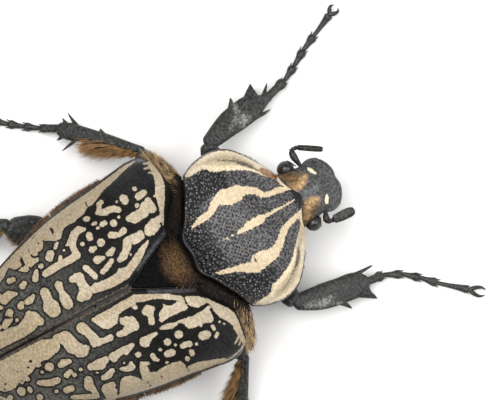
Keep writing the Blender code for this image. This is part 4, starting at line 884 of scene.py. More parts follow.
# The pale stripes of the side bands are partly their own colour and partly painted highlight: lighter cream
# laid along them where the dome turns away from the light.
SIDE_LIGHTS = """
26.2 -7.1 .15, 25.5 -7.9 .24, 24.8 -8.45 .26, 24 -8.9 .26, 23 -9.4 .26, 22 -9.9 .26, 20.6 -10.6 .26,
19.3 -11.7 .26, 17 -11.7 .26; 27.2 -7.7 .2, 26.4 -9 .24, 25.6 -10.2 .26, 24.7 -11.3 .3, 23.6 -12.2 .3,
22.5 -12.6 .3, 21 -12.7 .26, 19 -12.6 .2; 26.2 7.1 .2, 25.5 7.95 .3, 24.8 8.6 .3, 24 9.2 .28, 23 9.7 .26,
22 10.2 .26, 20.6 10.7 .28, 19.6 11.7 .26, 17.5 11.9 .26; 27.5 7 .2, 26.7 8.4 .26, 25.9 9.6 .3, 25 10.7 .3,
24 11.7 .3, 23 12.3 .3, 22 12.6 .3, 21 12.7 .26, 19 12.6 .2
"""
APEX = "31.1 0 .5, 30.3 -1 .45, 29.9 -1.5 .1; 31.1 0 .5, 30.3 1 .45, 29.9 1.5 .1; 31 0 .6, 30 0 .6"
PRO_GRID = (221, 301)
PIT_STRETCH = 1.7
GRAIN_HIGH, PIT_DEEP, FINE_PIT_DEEP = 0.17, 0.14, 0.06
HEM_HIGH, HEM_IN, HEM_WIDE, HEM_FALL = 0.16, 0.32, 0.16, (0.4, 0.3)
SETTLING = 12


def signed_places(f, out, knots_of):
    """Edge table looked up on the side each place lies on."""
    left, right = (np.interp(f, *np.array(knots_of[key], float).T) for key in (-1, 1))
    return np.where(out < 0, left, right)


def ruled(grid, rear_knots, front_knots, side_knots, widest, power):
    """Places ruled between a rear and a front edge, with both edges and the half width at each.

    A row's half width depends on how far forward its end lies, and that on the half width, so the
    two settle in a few rounds. Columns are a sine of even steps, to a power, times the half width.
    """
    share = np.linspace(0, 1, grid[0])[:, None]
    half = np.full_like(share, widest)
    for _ in range(SETTLING):
        rear, front = knots(half, rear_knots), knots(half, front_knots)
        half = knots(rear + (front - rear) * share, side_knots)
    out = half * signed_power(np.sin(np.linspace(-0.5, 0.5, grid[1]) * np.pi), power)
    rear, front = knots(np.abs(out), rear_knots), knots(np.abs(out), front_knots)
    f = rear + (front - rear) * share
    return f, out, rear, front, np.maximum(knots(f, side_knots), np.abs(out))


def pronotum_skin():
    """Top and bottom of the pronotum as in the CAD, with the distance from all its edges and from its hem.

    top is an arch over the rim's height; the grains and the raised hem are added to it later.
    """
    f, out, rear, front, reach = ruled(PRO_GRID, PRO_REAR, PRO_FRONT, PRO_SIDE, PRO_REAR[-1][0], 0.95)
    rim = knots(f, PRO_RIM)
    top = rim + (knots(f, PRO_TOP) - rim) * arch(out / reach, PRO_DOME_POWER)
    under = rim - PRO_RIM_THICK
    low = under - (under - knots(f, PRO_BOTTOM)) * arch(out / reach, PRO_BELLY_POWER)
    hem = np.minimum(f - rear, (reach - np.abs(out)) * 1.2)
    return f, out, top, low, np.minimum(hem, front - f), hem


def pronotum_marks(f, out, edge, ahead):
    """Numbers of the pronotum's markings, from its chains, its side bands and its distance to the edges."""
    cream = inside_chains(PRO_SPOTS, f, -out)
    sides = np.minimum(np.abs(out) - signed_places(f, -out, PRO_SIDES), np.where(f > 27.5, edge, edge - 0.38))
    cream = np.maximum(cream, np.minimum(sides, 28.9 - f))
    notch = inside_chains("19.8 4.9 .1, 19.8 5.8 .16; 30.9 0 .5", f, -out)
    brown = inside_chains(BROWN_LINES, f, -out)
    front_rim = np.minimum(np.minimum(0.45 - ahead, np.abs(out) - 1.9), 5.4 - np.abs(out))
    cream = np.minimum(np.minimum(np.maximum(cream, front_rim), -notch), -brown - 0.05)
    line = inside_chains(DARK_LINES, f, -out) - 0.02
    light = inside_chains(SIDE_LIGHTS, f, -out) - 0.1
    rear_band = 0.8 - (f - knots(np.abs(out), PRO_REAR)) - 0.1 * np.abs(out)
    shade = inside_chains(SIDE_SHADES, f, -out) - 0.3
    bare = np.maximum(np.maximum(rear_band, 0.3 - edge), inside_chains(APEX, f, -out))
    return {"cream": cream, "brown": brown, "bare": bare, "shade": shade, "line": line, "light": light}


f, out, top, low, edge, hem = pronotum_skin()
places, sizes = scattered(3, (11.0, 23.0), (-13.5, 13.5), 0.52, 0.25)
coarse = grains(f, out, places, sizes)
places, sizes = scattered(6, (13.0 * PIT_STRETCH, 23.5 * PIT_STRETCH), (-8.5, 8.5), 0.74, 0.13)
pits = grains(f * PIT_STRETCH, out, places, sizes)
places, sizes = scattered(4, (18.0, 31.0), (-13.5, 13.5), 0.36)
fine = grains(f, out, places, sizes)
marks = pronotum_marks(f, out, edge, knots(np.abs(out), PRO_FRONT) - f)
rough_share = ramp(edge, 0.5, 0.6) * ramp(marks["bare"], 0, -0.5)
front_share = ramp(f, 20.3, 2.0)
middle_share = ramp(np.abs(out), 7.3, -1.4) * ramp(f, 15.0, 1.4) * (1 - front_share)
rear_share = 1 - front_share - middle_share
smooth = np.where(marks["cream"] > 0, 0.25, 1.0)
relief = GRAIN_HIGH * coarse * rear_share - PIT_DEEP * pits * middle_share
relief = relief - FINE_PIT_DEEP * fine * front_share
top = top + rough_share * smooth * relief + HEM_HIGH * bell(hem, HEM_IN, HEM_WIDE) - edge_fall(hem, *HEM_FALL)
# Painted light on the relief: the first number colours the tops of the grains and the field between the pits
# grey, a painted highlight, and leaves the pits black, a painted shade.
marks["grain"] = ((coarse - 0.62) * rear_share + (0.47 - pits) * 1.2 * middle_share
                  + (0.34 - 0.9 * fine) * 0.8 * front_share)
# A painted glint on the highest grains at the rear.
marks["painted_glint"] = (coarse - 0.84) * rear_share - 0.4 * (1 - rear_share)
PRONOTUM_FINISH = finish_of("pronotum_finish", (0.002, 0.002, 0.002), (0.009, 0.009, 0.009), 0.5, (
    # The first two layers are painted light: highlights on the grains and between the pits, then glints.
    ("grain", (0.038, 0.036, 0.037), (0.138, 0.131, 0.128), 0.4, 0.14),
    ("painted_glint", (0.1, 0.097, 0.1), (0.3, 0.29, 0.29), 0.35, 0.1),
    ("bare", (0.003, 0.003, 0.003), (0.010, 0.010, 0.012), 0.5),
    ("cream", (0.47, 0.375, 0.24), (0.64, 0.515, 0.35), 0.5),
    ("shade", (0.15, 0.12, 0.065), (0.42, 0.33, 0.185), 0.5, 0.7, "cream"),
    ("light", (0.6, 0.5, 0.34), (0.9, 0.78, 0.56), 0.5, 0.4, "cream"),
    ("line", (0.03, 0.024, 0.013), (0.11, 0.082, 0.042), 0.5, 0.16),
    ("brown", (0.1, 0.03, 0.0), (0.37, 0.125, 0.002), 0.4, 0.12),
), bump=(2200, 0.3), wander=0.2, specular=0.35)
PRONOTUM_LOW = np.stack([f, out, np.minimum(low, top - 0.3)], -1)
plate("pronotum_shield", np.stack([f, out, top], -1), PRONOTUM_LOW, PRONOTUM_FINISH,
      ["prothorax"], LEFT, marks)
print("pronotum has", len(places), "fine pits")

# %% [markdown]
# The head is a flat box with a shield-like face, the clypeus. Its grey shell is pitted, its edge
# turned up, with a cream spot behind each front corner and ochre down each side of a dark
# midline. The eyes sit deep in it: wherever the skin would cross an eye, it is pushed out along
# the line from the eye's centre until it clears the eye, so a socket forms round it.

# %% Head
HEAD_GRID = (161, 161)
HEAD_CREAM = "34.2 -3.1 .28, 34.45 -2.7 .36, 34.8 -2 .14; 34.85 1.85 .12, 34.55 2.4 .3, 34.2 2.95 .26"
HEAD_OCHRE = """
33.2 -2.4 .25, 32.4 -2 .6, 31.8 -1.5 .5, 31.1 -1.4 .4, 30.4 -1.9 .35; 33.1 1.8 .3, 32.4 1.7 .6, 31.7 1.9 .6,
30.9 2.5 .45, 30.2 3.4 .35
"""
HEAD_BROWN = """
32.6 -2.6 .5, 31.6 -2.4 .9, 30.8 -3.3 .9, 30 -4.5 .8, 31.2 -1.6 .6; 32.6 2.6 .5, 31.6 2.4 .9, 30.8 3.3 .9,
30 4.5 .8, 31.2 1.6 .6
"""
SOCKET, HEAD_PIT_DEEP = 0.12, 0.07


def head_skin():
    """Top and bottom of the head as in the CAD, with the distance from its front and side edge."""
    rear_edge = tuple((place, ahead + 0.1 * NECK_GAP) for place, ahead in PRO_FRONT)
    f, out, _, front, reach = ruled(HEAD_GRID, rear_edge, HEAD_FRONT, HEAD_SIDE, HEAD_SIDE[0][1], 0.9)
    rim = knots(f, HEAD_RIM)
    top = rim + (knots(f, HEAD_TOP) - rim) * arch(out / reach, HEAD_DOME_POWER)
    under = rim - HEAD_RIM_THICK
    low = under - np.maximum(under - knots(f, HEAD_BOTTOM), 0) * arch(out / reach, HEAD_CHIN_POWER)
    return f, out, top, low, np.minimum(front - f, (reach - np.abs(out)) * 1.1)


def clear_of_eyes(points):
    """Points inside an eye, grown by SOCKET, moved straight away from its centre to its surface."""
    for side in SIDES.values():
        centre = np.array(EYE_CENTRE) * (1, side, 1) + (0, HEAD_ASIDE, 0)
        offset = points - centre
        share = np.linalg.norm(offset / (np.array(EYE_RADII) + SOCKET), axis=-1, keepdims=True)
        points = np.where(share < 1, centre + offset / np.maximum(share, 0.05), points)
    return points


f, out, top, low, edge = head_skin()
places, sizes = scattered(5, (30.0, 38.0), (-5.0, 5.0), 0.3)
pits = grains(f, out, places, sizes)
face = ramp(f, 32.5, 1.5)
inner_share = ramp(edge, 0.35, 0.3)
top = top - HEAD_PIT_DEEP * pits * inner_share * (0.35 + 0.65 * face)
turned_edge = 0.34 * bell(edge, 0.22, 0.2) * ramp(f, 33.2, 1.0)
cheek_humps = 0.3 * bell(np.abs(out), 3.3, 0.55) * bell(f, 32.9, 0.9)
middle_ridge = 0.14 * bell(out, 0, 0.6) * bell(f, 33.3, 1.6)
top = top + turned_edge + cheek_humps + middle_ridge - edge_fall(edge, 0.25, 0.2)
marks = {"cream": np.minimum(inside_chains(HEAD_CREAM, f, -out), edge - 0.5),
         "ochre": inside_chains(HEAD_OCHRE, f, -out),
         "umber": inside_chains(HEAD_BROWN, f, -out),
         "pale": inside_chains("34.2 0 .4, 33 0 .7, 31.8 0 .5", f, -out) - 0.3,
         # Painted shade: the centres of the pits coloured darker.
         "painted_pit_shade": (pits - 0.5) * 0.5 * inner_share - 0.08}
aside = np.array((0.0, HEAD_ASIDE, 0.0))
HEAD_UPPER = clear_of_eyes(np.stack([f, out, top], -1) + aside)
lower = clear_of_eyes(np.stack([f, out, np.minimum(low, top - 0.4)], -1) + aside)
HEAD_FINISH = finish_of("head_finish", (0.024, 0.025, 0.025), (0.1, 0.1, 0.1), 0.45, (
    ("pale", (0.09, 0.09, 0.092), (0.24, 0.24, 0.24), 0.45, 0.6),
    ("painted_pit_shade", (0.012, 0.012, 0.014), (0.03, 0.03, 0.033), 0.5, 0.2),
    ("umber", (0.02, 0.014, 0.009), (0.24, 0.14, 0.06), 0.8, 0.5),
    ("ochre", (0.28, 0.17, 0.075), (0.78, 0.53, 0.28), 0.8, 0.4),
    ("cream", (0.6, 0.5, 0.32), (0.85, 0.76, 0.56), 0.5),
), bump=(3000, 0.35), wander=0.12, specular=0.35)
plate("head_capsule", HEAD_UPPER, lower, HEAD_FINISH, ["head"], LEFT, marks)
print("head has", len(places), "pits")

# %% [markdown]
# The neck is a short dark tube between the head and the pronotum. It only shows as a shadow in the
# gap between them, but without it one could look through the animal there.

# %% Neck
NECK = ((27.5, 3.6, 11.2, 1.6), (29.0, 3.9, 11.3, 1.7), (30.6, 3.6, 11.4, 1.7), (32.0, 2.6, 11.4, 1.4))


def lying_tube(table, rows, sides):
    """Rings of a tube along the body, from rows of (f, half width, middle height, half depth)."""
    f = np.linspace(table[0][0], table[-1][0], rows)
    half, middle, deep = (column[:, None] for column in columns_at(f, table))
    turn = around(sides)
    return np.stack(np.broadcast_arrays(f[:, None], half * np.cos(turn), middle + deep * np.sin(turn)), -1)


NECK_FINISH = finish_of("neck_finish", (0.003, 0.003, 0.003), (0.01, 0.009, 0.008), 0.6)
tubes("neck", [lying_tube(NECK, 24, 40)], NECK_FINISH, [])
print("the neck is", round(NECK[-1][0] - NECK[0][0], 1), "mm long")

# %% [markdown]
# A beetle's eye is thousands of tiny lenses under one glossy dome. The lenses are about 0.02 mm
# across, far under what the camera sees, so the dome is geometry and the lenses a fine bump.

# %% Eyes
def ball(centre, radii, rows, columns):
    """Rings of an ellipsoid lying along the body: cosines along f, sines round it."""
    turn = around(columns)
    tilt = np.linspace(0.02, np.pi - 0.02, rows)[:, None]
    axes = np.broadcast_arrays(np.cos(tilt), np.sin(tilt) * np.cos(turn), np.sin(tilt) * np.sin(turn))
    return np.asarray(centre) + np.stack(axes, -1) * np.asarray(radii)


EYE_FINISH = finish_of("eye_finish", (0.004, 0.003, 0.004), (0.03, 0.024, 0.024), 0.28, bump=(24000, 0.12))
for side_name, side in SIDES.items():
    centre = np.array(EYE_CENTRE) + (0.0, side * HEAD_ASIDE, 0.0)
    tubes("compound_eye_" + side_name, [ball(centre, EYE_RADII, 40, 56)], EYE_FINISH,
          ["eye_" + side_name], side)
print("eyes are", 2 * EYE_RADII[0], "mm long")

# %% [markdown]
# A thin ridge of the cheek, the canthus, runs over the front of each eye and splits it in part.
# The right one is coloured pale, a painted highlight along its ridge.

# %% Ridges over the eyes
CANTHUS = ((32.55, 4.5, 13.3), (32.3, 4.95, 13.6), (32.0, 5.5, 13.3), (31.7, 6.0, 12.7))
CANTHUS_RADII = (0.08, 0.12, 0.12, 0.05)


def smooth_tube(points, radii, rows, sides, flat=1.0):
    """Rings along a smooth path with radii read smoothly from their own knots."""
    at = np.linspace(0, 1, rows)
    path = through(points, rows)
    wide = knots(at, evenly(radii))
    return tube_rings(path, wide, wide * flat, sides)[0]


# The right ridge's pale tint is a painted highlight; the left ridge is black.
for side_name, tint in (("left", (0.02, 0.02, 0.022)), ("right", (0.55, 0.5, 0.42))):
    side = SIDES[side_name]
    ridge = smooth_tube(np.array(CANTHUS) + (0.0, side * HEAD_ASIDE, 0.0), CANTHUS_RADII, 30, 14, 1.3)
    finish = finish_of("eye_ridge_" + side_name, tint, tint, 0.5)
    tubes("eye_ridge_" + side_name, [ridge], finish, [], side)
print("ridges are up to", 2 * max(CANTHUS_RADII), "mm thick")

# %% [markdown]
# The antenna's elbow is one bent tube with small beads before the club. The club is three flat
# leaves that open to smell and are closed here, so three thin tubes lie against each other.

# %% Antennae
LEG_FINISH = finish_of("leg_finish", (0.0035, 0.004, 0.0035), (0.046, 0.047, 0.043), 0.45, (
    ("chalk", (0.04, 0.039, 0.035), (0.27, 0.262, 0.235), 0.6, 0.35),
), bump=(2000, 0.6), wander=0.4, specular=0.35, relief=0.3)


def no_chalk(points):
    """The number 'chalk' where nothing is chalky."""
    return {"chalk": np.full(len(points), FAR_OUTSIDE)}


def capped(share_mm, length_mm, radius):
    """A factor that rounds both ends of a tube: a quarter circle over one radius."""
    near = np.minimum(share_mm, length_mm - share_mm) / radius
    return np.sqrt(np.clip(1 - (1 - np.clip(near, 0, 1)) ** 2, 0.0025, 1))


def swollen(rings, factors):
    """A tube's rings grown or shrunk round their middles, each by its own factor."""
    middle = rings.mean(1, keepdims=True)
    return middle + (rings - middle) * factors[:, None, None]


def leaf_sizes(side_name, leaf, wide, deep):
    """Half width and half depth of a club's leaf: the left club shows its edge, the right its flat side."""
    if side_name == "right":
        return wide, deep / 3 * 1.2
    return (wide / 3 * 1.3, deep * 0.9) if leaf else (wide / 3 * 2.3, deep)


for side_name, side in SIDES.items():
    aside = np.array((0.0, side * HEAD_ASIDE, 0.0))
    root, tip = np.array(CLUB[side_name]) + aside
    bent = smooth_tube([*(np.array(SCAPE[side_name]) + aside), root], SCAPE_RADII, 60, 20)
    at = np.linspace(0, 1, 60)
    parts = [swollen(bent, 1 + 0.16 * np.cos(at * 2 * np.pi * 11) * ramp(at, 0.55, 0.2))]
    fine = np.linspace(0, 1, 40)
    swelling = np.maximum(knots(fine, CLUB_SWELL), 0.05) * capped(fine * 4, 4, 0.25)
    wide, deep = CLUB_WIDE[side_name], CLUB_DEEP[side_name]
    tip_way = unit(tip - root)
    across = level_across(tip_way)
    stack, thin = (across, wide / 3) if side_name == "left" else (np.cross(across, tip_way), deep / 3)
    for leaf in (-1, 0, 1):
        middle = root + (tip - root) * fine[:, None] + stack * leaf * 1.7 * thin
        half_wide, half_deep = leaf_sizes(side_name, leaf, wide, deep)
        parts.append(tube_rings(middle, half_wide * np.minimum(swelling, 1), half_deep * swelling, 20)[0])
    tubes("feeler_" + side_name, parts, LEG_FINISH, ["antenna_" + side_name, "club_" + side_name],
          side, no_chalk)
print("each club has three leaves,", round(2 * CLUB_WIDE["left"], 1), "mm across together")

# %% [markdown]
# A leg is a chain of hard tubes. Each is swept between its two joints with the half widths of the
# CAD's profile, read smoothly, and its ends are rounded. Inside each tooth and spur of a tibia is
# the CAD's cone. Round a short tooth the wall is drawn out too: points near its root move towards
# its tip, the more the nearer they are. A long spur is its cone alone.

# %% Limb segments
JOINT_REACH = 0.35
LONGEST_TOOTH = 1.5
TOOTH_FOOT, TOOTH_POWER = 1.3, 1.15
GROOVE_DEEP, GROOVE_WIDE = 0.07, 0.04
SPINE_RADII = (0.13, 0.12, 0.1, 0.06, 0.015)
SEGMENT_GRID, TIBIA_GRID = (56, 28), (132, 48)


def limb(start, end, profile, rows, sides, teeth=(), squareness=0.85):
    """Rings of one segment, its cross-section a rounded box: signed powers of cosine and sine.

    A fine groove runs along its top and underside. Each short tooth draws the wall out beside it.
    """
    direction, outward, deep_axis = limb_axes(start, end)
    start, end = start - direction * JOINT_REACH, end + direction * JOINT_REACH
    length = float(np.linalg.norm(end - start))
    share = np.linspace(0, 1, rows)
    shift, half_wide, half_deep = columns_at(share, profile)
    ends = capped(share * length, length, 0.7)
    turn = around(sides)
    wide, deep = signed_power(np.cos(turn), squareness), signed_power(np.sin(turn), squareness)
    groove = 1 - GROOVE_DEEP * bell(np.abs(np.sin(turn)), 1, GROOVE_WIDE)
    path = start + (end - start) * share[:, None]
    across = (half_wide * ends)[:, None] * wide + shift[:, None]
    down = (half_deep * ends)[:, None] * (deep * groove)
    along = np.zeros_like(across)
    for at, edge, long, lean, radius in teeth:
        if long > LONGEST_TOOTH:
            continue
        away = np.hypot((share[:, None] - at) * length, down) / (TOOTH_FOOT * radius)
        pull = np.clip(1 - away, 0, 1) ** TOOTH_POWER * (edge * np.cos(turn) > 0)
        across = across + edge * (long + 0.1) * pull
        along = along + lean * pull
    skin = path[:, None] + outward * across[..., None] + deep_axis * down[..., None]
    return skin + direction * along[..., None]


def spikes(knee, ankle, profile, teeth):
    """Cones of the teeth and spurs: from inside the tibia's wall outwards, as in the CAD."""
    direction, outward, _ = limb_axes(knee, ankle)
    share = np.linspace(0, 1, 12)
    columns = np.array(profile).T
    made = []
    for at, edge, long, lean, radius in teeth:
        shift, half_wide = (np.interp(at, columns[0], column) for column in columns[1:3])
        base = knee + (ankle - knee) * at + outward * (shift + edge * (half_wide - SPIKE_SUNK * radius))
        tip = base + outward * edge * (long + 0.5 * radius) + direction * lean
        taper = radius * knots(share, SPIKE_TAPER)
        made.append(tube_rings(base + (tip - base) * share[:, None], taper, taper, 12)[0])
    return made


def toe_beads(ankle, toes, wide=1.0):
    """Five flaring beads along the floor, the first one wide times as thick.

    All but the last have two short spines at their end.
    """
    joints = np.concatenate([[ankle], [(f, out, z) for (f, out), z in zip(toes, TOE_Z)]])
    parts = []
    for number, (a, b) in enumerate(zip(joints[:-1], joints[1:])):
        bead = LAST_TOE if number == len(toes) - 1 else TOE_BEAD
        at = np.linspace(-0.05, 1.0, 24)
        length = np.linalg.norm(b - a)
        reach = (at[-1] - at[0]) * length
        radius = knots(at, bead) * capped((at - at[0]) * length + 0.02, reach + 0.04, 0.3)
        if number == 0:
            least = 0.68 * capped(np.linspace(0, length, 24) + 0.05, length + 0.1, 0.3)
            radius = np.maximum(radius * wide, least)
        radius[:6] = np.maximum(radius[:6], 0.3)
        rings, along = tube_rings(a + (b - a) * at[:, None], radius, radius * 0.85, 16)
        rings[..., 2] = np.maximum(rings[..., 2], 0.0)
        parts.append(rings)
        across = level_across(along[-1])
        for edge in (-1, 1) if number < len(toes) - 1 else ():
            base = a + (b - a) * 0.86 + across * edge * 0.45
            tip = base + along[-1] * 0.75 + across * edge * 0.28 - (0, 0, 0.1)
            way = base + (tip - base) * np.linspace(0, 1, len(SPINE_RADII))[:, None]
            spine = tube_rings(way, SPINE_RADII, SPINE_RADII, 6)[0]
            spine[..., 2] = np.maximum(spine[..., 2], 0.02)
            parts.append(spine)
    return parts, joints[-1], unit(joints[-1] - joints[-2])


def hooks(start, direction, tip):
    """Two claws: each a tapered tube along the CAD's curve, out to the side, up and down to the floor."""
    base = start + direction * (GAP + 0.02) * 0.4
    tip = np.array((*tip, CLAW_TIP_Z))
    across = level_across(direction)
    radii = knots(np.linspace(0, 1, 26), evenly(CLAW_RADII))
    made = []
    for edge in (-1, 1):
        end = tip + across * edge * CLAW_SPREAD
        middle = base + 0.65 * (end - base) + across * edge * CLAW_BOW + (0, 0, CLAW_ARCH)
        path = bow(base + across * edge * CLAW_ROOT, middle, end, 26)
        made.append(tube_rings(path, radii, radii, 14)[0])
    return made


CHALK = {
    "front_left": "28.9 15.5 .85, 28.3 15 .6; 28.5 16.8 .4, 28.4 18.2 .15; 27.8 15.9 .4, 26.9 15.6 .3;"
                  "26.1 14.9 .2",
    "front_right": "23.5 16 .2, 24.5 16.4 .4, 25.8 16.8 .5, 27 17.1 .55, 27.8 16.9 .35;"
                   "27.6 17.6 .3, 28.5 18.3 .15"}


def worn_top(points, which):
    """The pale worn patch on the top of a front tibia, as the number 'chalk' at each point."""
    knee, ankle = LEGS[which]["knee"], LEGS[which]["ankle"]
    middle_z = np.interp(points[:, 0], (knee[0], ankle[0]), (knee[2], ankle[2]))
    worn = inside_chains(CHALK[which], points[:, 0], points[:, 1])
    return {"chalk": np.where(points[:, 2] > middle_z, worn, FAR_OUTSIDE)}


for which, plan in LEGS.items():
    kind, side_name = which.split("_")
    side = SIDES[side_name]
    root, hip, knee, ankle = np.array((*LEG_ROOTS[kind], plan["knee"], plan["ankle"]), float)
    segments = {"coxa": (root, hip, COXA[kind], ()), "femur": (hip, knee, FEMUR[kind], ()),
                "tibia": (knee, ankle, of_leg(TIBIA, which), of_leg(TEETH, which))}
    for bone, (start, end, profile, teeth) in segments.items():
        rings = limb(start, end, profile, *(TIBIA_GRID if teeth else SEGMENT_GRID), teeth)
        parts = [rings, *spikes(start, end, profile, teeth)]
        marked = bone == "tibia" and which in CHALK
        tubes(f"{bone}_skin_{which}", parts, LEG_FINISH, [f"{bone}_{which}"], side,
              (lambda points: worn_top(points, which)) if marked else no_chalk)
    beads, end, direction = toe_beads(ankle, plan["toes"], 1.2 if kind == "front" else 1.0)
    claws = hooks(end, direction, plan["claws"])
    tubes("toes_" + which, beads, LEG_FINISH, ["tarsus_" + which], side, no_chalk)
    tubes("hooks_" + which, claws, LEG_FINISH, ["claws_" + which], side, no_chalk)
print("each leg has", len(segments), "segments, toes and two claws")

# %% [markdown]
# Under and between the big plates lies the darker, hairy body. The scutellum is the velvet triangle
# between the wing cases. The collar shows as a band between the pronotum and the wing cases. Where
# a wing case or the scutellum covers it, its top is held down under that plate.

# %% Scutellum and collar
VELVET_FINISH = finish_of("velvet_finish", (0.0004, 0.0004, 0.0004), (0.004, 0.0038, 0.0036), 0.7, (
    ("brown", (0.045, 0.026, 0.012), (0.19, 0.105, 0.048), 0.8, 0.6),
), bump=(2400, 0.3), specular=0.05)
HAIRY_FINISH = finish_of("hairy_finish", (0.003, 0.0025, 0.002), (0.014, 0.01, 0.007), 0.75,
                         bump=(1800, 0.5), specular=0.1)
SCUTELLUM_SKIN_F = SCUTELLUM_BASE_F + 0.4


def scutellum_top(f, out):
    """Height of the scutellum: the dome a little behind the place, sunk, less a fall towards its base."""
    share = ramp(f, SCUTELLUM_FALL_F, SCUTELLUM_SKIN_F - SCUTELLUM_FALL_F)
    return dome(f - SCUTELLUM_LAG, out) - SCUTELLUM_SUNK - SCUTELLUM_FALL * share ** SCUTELLUM_FALL_POWER


f = np.linspace(SCUTELLUM_SKIN_F, SCUTELLUM_TIP_F, 101)[:, None]
half = np.maximum(inner_edge(f) - 0.6 * GAP, 0.2 * GAP)
f, out = np.broadcast_arrays(f, half * np.linspace(-1, 1, 81))
edge = np.minimum(half - np.abs(out), SCUTELLUM_SKIN_F - f)
top = scutellum_top(f, out)
SCUTELLUM_UPPER = np.stack([f, out, top - edge_fall(edge, 0.22, 0.35)], -1)
brown = 1 - np.hypot((f - 9.4) / 2.4, (out + 0.2) / 2.8)
plate("shield_triangle", SCUTELLUM_UPPER, np.stack([f, out, top - SHELL], -1), VELVET_FINISH,
      ["scutellum"], LEFT, {"brown": brown})

share = np.linspace(0, 1, 121)[:, None]
half = np.interp(share, (0, 0.5, 1), [wide for _, wide in MESO_HALF])
out = half * np.sin(np.linspace(-0.5, 0.5, 221) * np.pi)
sideways = np.abs(out)
front = knots(sideways, MESO_FRONT) + 0.4 - 0.6 * ramp(sideways, 11.5, 2)
f = MESO_REAR_F + (front - MESO_REAR_F) * share
rng = np.random.default_rng(17)
lumps = np.stack([rng.uniform(9, 16, 90), rng.uniform(-17, 17, 90)], -1)
top = knots(sideways, MESO_TOP) - 0.2 + 0.35 * grains(f, out, lumps, rng.uniform(0.5, 1.0, 90))
top = top - 0.9 * ramp(f, front - 0.8, 0.8) ** 2
case_over = (sideways > inner_edge(f) - 0.2) & (f < knots(sideways, FRONT_F) + 0.15)
top = np.where(case_over, np.minimum(top, dome(f, sideways) - SHELL - 0.45), top)
shield_over = (sideways <= inner_edge(f)) & (f < SCUTELLUM_BASE_F + 0.55)
top = np.where(shield_over, np.minimum(top, scutellum_top(f, out) - SHELL - 0.3), top)
low = MESO_SIDE_Z - (MESO_SIDE_Z - knots(f, BELLY_Z)) * arch(out / np.maximum(half, sideways), BELLY_POWER)
COLLAR_UPPER = np.stack([f, out, np.maximum(top, low + 0.3)], -1)
plate("collar_skin", COLLAR_UPPER, np.stack([f, out, low], -1), HAIRY_FINISH, ["mesothorax"])

tubes("breast_prow", [lying_tube(PROW, 30, 24)], VELVET_FINISH, [], LEFT,
      lambda points: {"brown": np.full(len(points), FAR_OUTSIDE)})
print("collar reaches f =", round(float(COLLAR_UPPER[..., 0].max()), 1))

# %% [markdown]
# The hind body is a breast plate, then a belly of rings. The belly is one surface that steps at
# each ring, because each ring slips over the next. A rounded last plate closes the tail.

# %% Hind body, belly rings and last plate
def belly_step(f):
    """How far each belly ring stands proud: most at its rear edge, where the next one slips under it."""
    edges = np.array((META_REAR_F, *BELLY_SEAMS_F, ABDOMEN_REAR_F))
    which = np.clip(np.searchsorted(-edges, -f, side="left") - 1, 0, len(edges) - 2)
    front, rear = edges[which], edges[which + 1]
    return np.where(f < META_REAR_F, BELLY_STEP * ramp(f, front, rear - front), 0)


def hind_skin(first, last, rows, columns):
    """Back and belly of the hind body between two places, as in the CAD, with a step at each ring.

    A fine line along the middle stands out behind f = -10 and is sunk in front of it.
    """
    f = np.linspace(first, last, rows)[:, None]
    half = knots(f, MARGIN_OUT)
    across = np.linspace(-1, 1, columns)
    wide = half + knots(f, SIDE_OUT)
    ledge_z = knots(f, MARGIN_Z) - LEDGE
    out = wide * np.sin(across * 0.5 * np.pi)
    inner = np.minimum(np.abs(out), half - UNDER_SHELL)
    top = np.where(np.abs(out) < half - UNDER_SHELL, dome(f, inner, UNDER_SHELL), ledge_z - 0.1)
    low_start = ledge_z - LEDGE_FALL - LEDGE_THICK
    low = low_start - (low_start - knots(f, BELLY_Z) + belly_step(f)) * arch(out / wide, BELLY_POWER)
    f = np.broadcast_to(f, out.shape)
    low = low - 0.06 * bell(out, 0, 0.3) * np.sign(-10.0 - f)
    return np.stack([f, out, top], -1), np.stack([f, out, low], -1)


BELLY_FINISH = finish_of("belly_finish", (0.007, 0.006, 0.006), (0.034, 0.03, 0.028), 0.36, bump=(1500, 0.3),
                         specular=0.4)
META_UPPER, META_LOWER = hind_skin(META_REAR_F, MESO_REAR_F - GAP, 81, 129)
plate("breast_skin", META_LOWER, META_UPPER, BELLY_FINISH, ["metathorax"])
BELLY_UPPER, BELLY_LOWER = hind_skin(ABDOMEN_REAR_F, META_REAR_F - GAP, 181, 129)
plate("belly_rings", BELLY_LOWER, BELLY_UPPER, BELLY_FINISH, ["abdomen"])
turn = around(64)
wide, tall = signed_power(np.cos(turn), PYGIDIUM_POWER), signed_power(np.sin(turn), PYGIDIUM_POWER)
rows = PYGIDIUM[0][0] + (PYGIDIUM[-1][0] - PYGIDIUM[0][0]) * np.linspace(0, 1, 40) ** 0.8
half, low, high = (column[:, None] for column in columns_at(-rows, [(-row[0], *row[1:]) for row in PYGIDIUM]))
height = 0.5 * (low + high + (high - low) * tall)
rings = np.stack(np.broadcast_arrays(rows[:, None], half * wide, height), -1)
tubes("last_plate", [rings], BELLY_FINISH, ["pygidium"])
print("belly has", len(BELLY_SEAMS_F) + 1, "rings")

# %% [markdown]
# The mouth is under the head: a chin plate with a jointed feeler each side. It hardly shows, but
# a model is turned over in the hand, so it is there.

